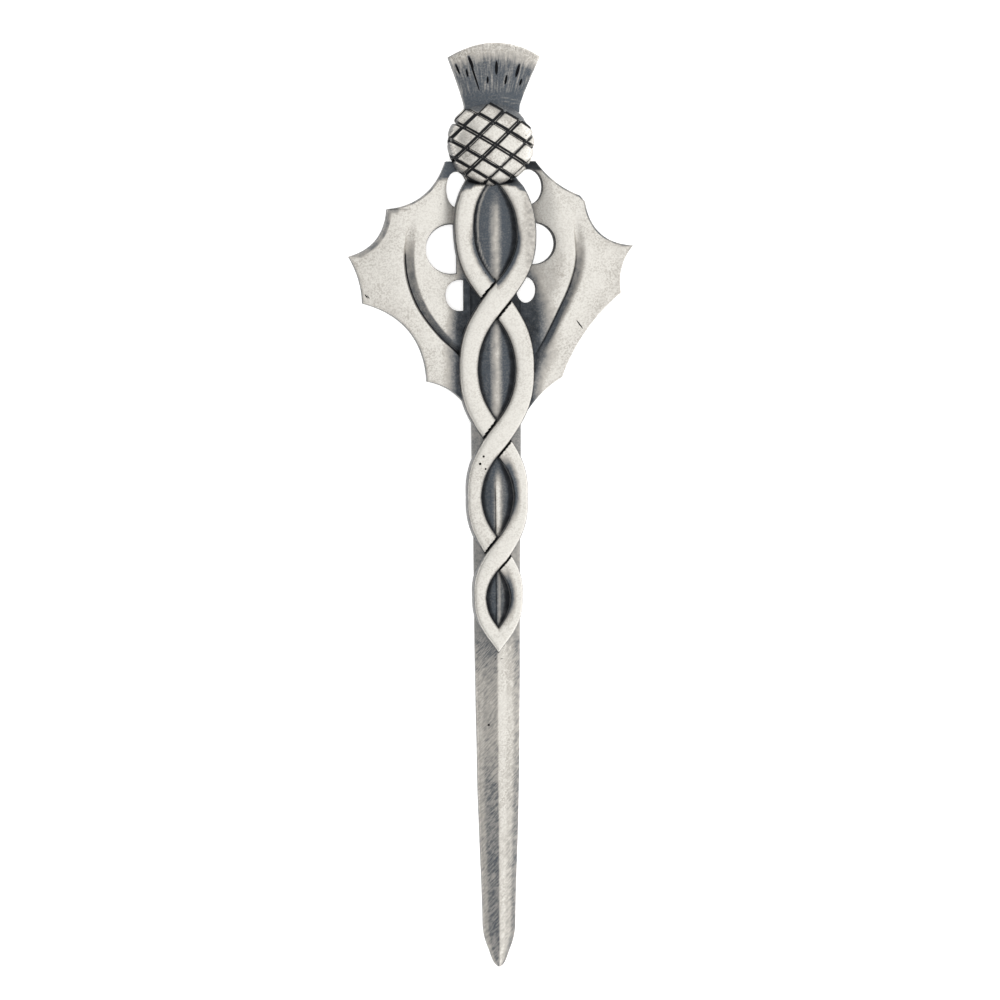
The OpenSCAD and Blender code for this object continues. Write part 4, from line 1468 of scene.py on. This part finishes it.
def cast_grain(tree, scale):
    """Grain of cast pewter: speckle and pits for the colour and height for the bump"""
    sized = node(tree, "ShaderNodeVectorMath", operation="SCALE", inputs={
        0: object_place(tree), "Scale": scale})
    vector = sized.outputs[0]
    fine = noise_node(tree, vector, FINE_GRAIN, rough=0.6)
    broad = noise_node(tree, vector, BROAD_GRAIN)
    patches = ramp(tree, noise_node(tree, vector, GRAIN_PATCHES, 3.0, 0.6), 0.36, 0.66, 0.5, 1.0)
    cells = node(tree, "ShaderNodeTexVoronoi", feature="F1", inputs={"Vector": vector, "Scale": PIT_CELLS})
    colour = node(tree, "ShaderNodeSeparateColor", inputs={0: cells.outputs["Color"]})
    chosen = math_node(tree, "GREATER_THAN", colour.outputs[0], 0.55)
    pit = times(tree, ramp(tree, cells.outputs["Distance"], 0.02, 0.045, 1.0, 0.0), chosen)
    return {
        "Speckle": times(tree, ramp(tree, fine, 0.42, 0.62), patches),
        "Pit": pit,
        "Height": less(tree, plus(tree, times(tree, fine, 0.5), broad), pit),
    }


def brush_scratches(tree, angle):
    """Fine scratches of the brush, all in one direction"""
    turn = node(tree, "ShaderNodeVectorRotate", rotation_type="Z_AXIS", inputs={
        "Vector": object_place(tree), "Angle": angle})
    stretch = node(tree, "ShaderNodeVectorMath", operation="MULTIPLY", inputs={
        0: turn.outputs[0], 1: SCRATCH_SCALE})
    lines = noise_node(tree, stretch.outputs[0], 1.0, 1.0)
    return {"Scratch": ramp(tree, lines, 0.4, 0.62)}


def tarnish_and_light_masks(tree, recess_amount):
    """Masks of the tarnish and of the crevices, painted shade and highlights included, from the attribute of
    patina and painted light
    """
    wear_and_painted_light = node(tree, "ShaderNodeAttribute", attribute_name="wear_and_painted_light")
    parts = node(tree, "ShaderNodeSeparateColor", inputs={0: wear_and_painted_light.outputs["Color"]})
    recess, laid, black = parts.outputs
    uneven = less(tree, noise_node(tree, object_place(tree), TARNISH_CLOUDS, 4.0, 0.62), 0.5)
    sunk = ramp(tree, plus(tree, recess, times(tree, uneven, 0.25)), 0.1, 0.5)
    both = larger(tree, laid, times(tree, sunk, recess_amount))
    patchy = times(tree, uneven, ramp(tree, both, 0.02, 0.3, 0.0, 0.7))
    patchy = times(tree, patchy, ramp(tree, both, 0.6, 0.95, 1.0, 0.2))
    deep = ramp(tree, recess, 0.36, 0.66)
    return {
        "Tarnish": plus(tree, both, patchy, clamped=True),
        "Crevice": larger(tree, deep, ramp(tree, plus(tree, black, times(tree, uneven, 0.4)), 0.25, 0.75)),
    }


def grain_outputs(tree, scale=1.0):
    return placed(tree, "Cast grain", cast_grain, "Grain Scale", scale)


def scratch_output(tree, angle):
    return placed(tree, "Brush scratches", brush_scratches, "Angle", angle)["Scratch"]


def tarnish_and_light_outputs(tree, recess):
    return placed(tree, "Tarnish", tarnish_and_light_masks, "Recess Amount", recess)


def pewter(name, recess=0.85, scratch_angle=0.6, scratch_depth=0.0, speckle=0.35):
    """Antiqued pewter: rubbed metal with matt tarnish in the hollows, its tarnish and crevice masks also
    carrying painted shade and highlights
    """
    found = bpy.data.materials.get(name)
    if found:
        return found
    finish = pin().finish
    material, tree, shader = new_material(name)
    shader.inputs["Specular IOR Level"].default_value = PEWTER_SPECULAR
    tarnish_and_light, grain = tarnish_and_light_outputs(tree, recess), grain_outputs(tree)
    tarnish, crevice, specks = tarnish_and_light["Tarnish"], tarnish_and_light["Crevice"], grain["Speckle"]
    scratches = scratch_output(tree, scratch_angle)
    place = node(tree, "ShaderNodeSeparateXYZ", inputs={0: object_place(tree)})
    last_crossing = along_in_frame(pin().blade.length - pin().twist.length)
    brushed = ramp(tree, place.outputs["Y"], last_crossing - MM, last_crossing + MM, scratch_depth, 0.0)
    lines = times(tree, scratches, brushed)
    dusty = times(tree, ramp(tree, tarnish, 0.0, 0.3, *SPECKLE_GROWTH), speckle)
    marks = larger(tree, times(tree, specks, dusty), lines)
    metal = colour_mix(tree, marks, opaque(finish.pewter), opaque(finish.grain))
    rubbed = times(tree, less(tree, scratches, 0.5), brushed)
    rubbed = times(tree, rubbed, ramp(tree, tarnish, 0.05, 0.5, 0.0, SCRATCH_LIGHT))
    bright = times(tree, specks, ramp(tree, tarnish, 0.5, 0.8, 0.0, SPECKLE_LIGHT))
    dulling = plus(tree, times(tree, tarnish, 0.96), less(tree, rubbed, bright), clamped=True)
    brown = colour_mix(tree, ramp(tree, dulling, *PATINA_RANGE), metal, opaque(finish.patina))
    dark = colour_mix(tree, ramp(tree, dulling, *DARK_RANGE), brown, opaque(finish.tarnish))
    hollow = larger(tree, crevice, times(tree, grain["Pit"], PIT_BLACK))
    colour = colour_mix(tree, hollow, dark, opaque(finish.crevice))
    matt = larger(tree, times(tree, tarnish, TARNISH_MATT), hollow)
    rough = plus(tree, times(tree, tarnish, MARKED_ROUGH), PEWTER_ROUGH)
    rough = plus(tree, rough, times(tree, marks, MARKED_ROUGH), clamped=True)
    relief = less(tree, times(tree, grain["Height"], GRAIN_RELIEF), lines)
    tree.links.new(colour, shader.inputs["Base Color"])
    tree.links.new(less(tree, 1.0, matt, clamped=True), shader.inputs["Metallic"])
    tree.links.new(rough, shader.inputs["Roughness"])
    tree.links.new(bump_output(tree, relief, *PEWTER_BUMP), shader.inputs["Normal"])
    return material


def casting_metals():
    """One material for each form of the casting, in the order of the slots"""
    return [
        pewter("Pewter blade", recess=0.3, scratch_angle=-0.85, scratch_depth=0.24, speckle=0.45),
        pewter("Pewter strands", speckle=0.4),
        pewter("Pewter leaves", recess=0.6, speckle=0.45),
        pewter("Pewter bulb", speckle=0.55),
        pewter("Pewter crown", speckle=0.8),
    ]


def steel():
    """Plated steel, brushed lightly along the stem"""
    colour = pin().finish.steel
    material, tree, shader = new_material("Plated steel")
    shader.inputs["Metallic"].default_value = 1.0
    scratch = scratch_output(tree, STEEL_BRUSH)
    scale, strength = STEEL_GRAIN
    speckle = times(tree, grain_outputs(tree, scale)["Speckle"], strength)
    speckled = colour_mix(tree, speckle, opaque(colour), opaque(0.5 * c for c in colour))
    tree.links.new(speckled, shader.inputs["Base Color"])
    rough = plus(tree, times(tree, scratch, STEEL_SCRATCH_ROUGH), STEEL_ROUGH)
    tree.links.new(rough, shader.inputs["Roughness"])
    tree.links.new(bump_output(tree, scratch, *STEEL_BUMP), shader.inputs["Normal"])
    return material


class KILTPIN_OT_casting(bpy.types.Operator):
    """Models the pewter casting and lays its tarnish, painted shade and painted highlights"""

    bl_idname = "kiltpin.casting"
    bl_label = "Casting"

    def execute(self, context):
        leaves = [pierced(make_leaf(shape), leaf_holes(shape)) for shape in (LEFT_LEAF, RIGHT_LEAF)]
        crown = pierced(make_crown(), [crown_slit(*row) for row in CROWN_SLITS])
        added = [mitred_strand(LEFT), mitred_strand(RIGHT), *leaves, make_bulb(), crown]
        cut = [casting_pit(*row) for row in CASTING_PITS] + [leaf_nick(*row) for row in LEAF_NICKS]
        blade = pierced(make_blade(), leaf_holes(RIGHT_LEAF))
        mesh = combined(blade, [("UNION", piece) for piece in added] + [("DIFFERENCE", mark) for mark in cut])
        mesh.name = "casting_looks"
        lay_tarnish_and_painted_light(mesh)
        into_frame(mesh)
        mesh.shade_smooth()
        mesh.set_sharp_from_angle(angle=SHARP_EDGE)
        casting = bpy.data.objects.new("casting_looks", mesh)
        context.scene.collection.objects.link(casting)
        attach(casting, "root")
        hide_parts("casting")
        return {"FINISHED"}


class KILTPIN_OT_brooch_pin(bpy.types.Operator):
    """Finishes the steel fastening on the back"""

    bl_idname = "kiltpin.brooch_pin"
    bl_label = "Brooch pin"

    def execute(self, context):
        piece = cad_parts["brooch_pin"]
        piece.data.materials.clear()
        piece.data.materials.append(steel())
        return {"FINISHED"}


def toward_camera():
    """Direction from the pin to the camera, to the left of straight above"""
    tilt = pin().studio.camera_tilt
    return Vector((-math.sin(tilt), 0, math.cos(tilt)))


def white_paper():
    paper, tree, shader = new_material("White paper")
    for key, value in {
        "Base Color": (0.95, 0.95, 0.95, 1), "Roughness": 0.9, "Specular IOR Level": 0.1,
        "Emission Color": (1, 1, 1, 1), "Emission Strength": 0.4,
    }.items():
        shader.inputs[key].default_value = value
    return paper


def white_floor():
    bm = bmesh.new()
    bmesh.ops.create_grid(bm, x_segments=1, y_segments=1, size=FLOOR_HALF)
    mesh = bpy.data.meshes.new("floor")
    bm.to_mesh(mesh)
    bm.free()
    mesh.materials.append(white_paper())
    return bpy.data.objects.new("floor", mesh)


def studio_world():
    """White surroundings, dimmer on the left so that the slopes of the pin are told apart"""
    world = bpy.data.worlds.new("Studio")
    world.use_nodes = True
    tree = world.node_tree
    toward = node(tree, "ShaderNodeSeparateXYZ", inputs={0: object_place(tree)})
    strength = ramp(tree, toward.outputs["X"], -1.0, 0.0, *WORLD_STRENGTH)
    background = tree.nodes["Background"]
    tree.links.new(strength, background.inputs["Strength"])
    background.inputs["Color"].default_value = WORLD_COLOUR
    return world


def floor_light():
    """Lamp behind the camera, which lights the floor and isn't mirrored in the metal"""
    light = bpy.data.lights.new("Floor light", "AREA")
    light.shape = "RECTANGLE"
    light.size = light.size_y = LAMP_SIZE
    light.energy = LAMP_POWER
    lamp = bpy.data.objects.new("Floor light", light)
    lamp.location = toward_camera() * pin().studio.light_distance
    lamp.rotation_mode = "QUATERNION"
    lamp.rotation_quaternion = (-lamp.location).to_track_quat("-Z", "Y")
    lamp.visible_glossy = False
    return lamp


def picture_camera():
    studio = pin().studio
    camera = bpy.data.cameras.new("Camera")
    camera.sensor_width = SENSOR
    camera.lens = SENSOR * studio.camera_distance / studio.picture_width
    camera.clip_start, camera.clip_end = 0.01, 10
    eye = bpy.data.objects.new("Camera", camera)
    back = toward_camera()
    aim = Vector((AIM_ACROSS, AIM_ALONG, CAST_LOW.z + AIM_HEIGHT))
    eye.location = aim + back * studio.camera_distance
    eye.rotation_mode = "QUATERNION"
    level = Matrix((back.cross(Vector((0, -1, 0))), Vector((0, 1, 0)), back)).transposed().to_quaternion()
    roll = Matrix.Rotation(-studio.camera_roll, 3, back).to_quaternion()
    eye.rotation_quaternion = roll @ level
    return eye


class KILTPIN_OT_stage(bpy.types.Operator):
    """Sets the floor, the lights and the camera"""

    bl_idname = "kiltpin.stage"
    bl_label = "Stage"

    def execute(self, context):
        scene = context.scene
        floor, lamp, eye = white_floor(), floor_light(), picture_camera()
        for made in (floor, lamp, eye):
            scene.collection.objects.link(made)
        scene.world = studio_world()
        scene.camera = eye
        scene.view_settings.view_transform = "Standard"
        return {"FINISHED"}


class KILTPIN_PT_panel(bpy.types.Panel):
    bl_idname = "KILTPIN_PT_panel"
    bl_label = "Kilt pin"
    bl_space_type = "VIEW_3D"
    bl_region_type = "UI"
    bl_category = "Kilt pin"

    def draw(self, context):
        layout = self.layout
        for group in (pin().blade, pin().twist, pin().leaf, pin().thistle, pin().finish, pin().studio):
            box = layout.box()
            for name in group.__annotations__:
                box.prop(group, name)
        for operator in STEPS:
            layout.operator(operator.bl_idname)


GROUPS = (BladeSizes, TwistSizes, LeafSizes, ThistleSizes, Finish, Studio, KiltPin)
STEPS = (KILTPIN_OT_casting, KILTPIN_OT_brooch_pin, KILTPIN_OT_stage)


def register():
    for cls in GROUPS + STEPS + (KILTPIN_PT_panel,):
        bpy.utils.register_class(cls)
    bpy.types.Scene.kilt_pin = PointerProperty(
        type=KiltPin, name="Kilt pin", description="Sizes and colours of the kilt pin")


def unregister():
    del bpy.types.Scene.kilt_pin
    for cls in reversed(GROUPS + STEPS + (KILTPIN_PT_panel,)):
        bpy.utils.unregister_class(cls)


def main():
    register()
    bpy.ops.kiltpin.casting()
    bpy.ops.kiltpin.brooch_pin()
    bpy.ops.kiltpin.stage()


if __name__ == "__main__":
    main()
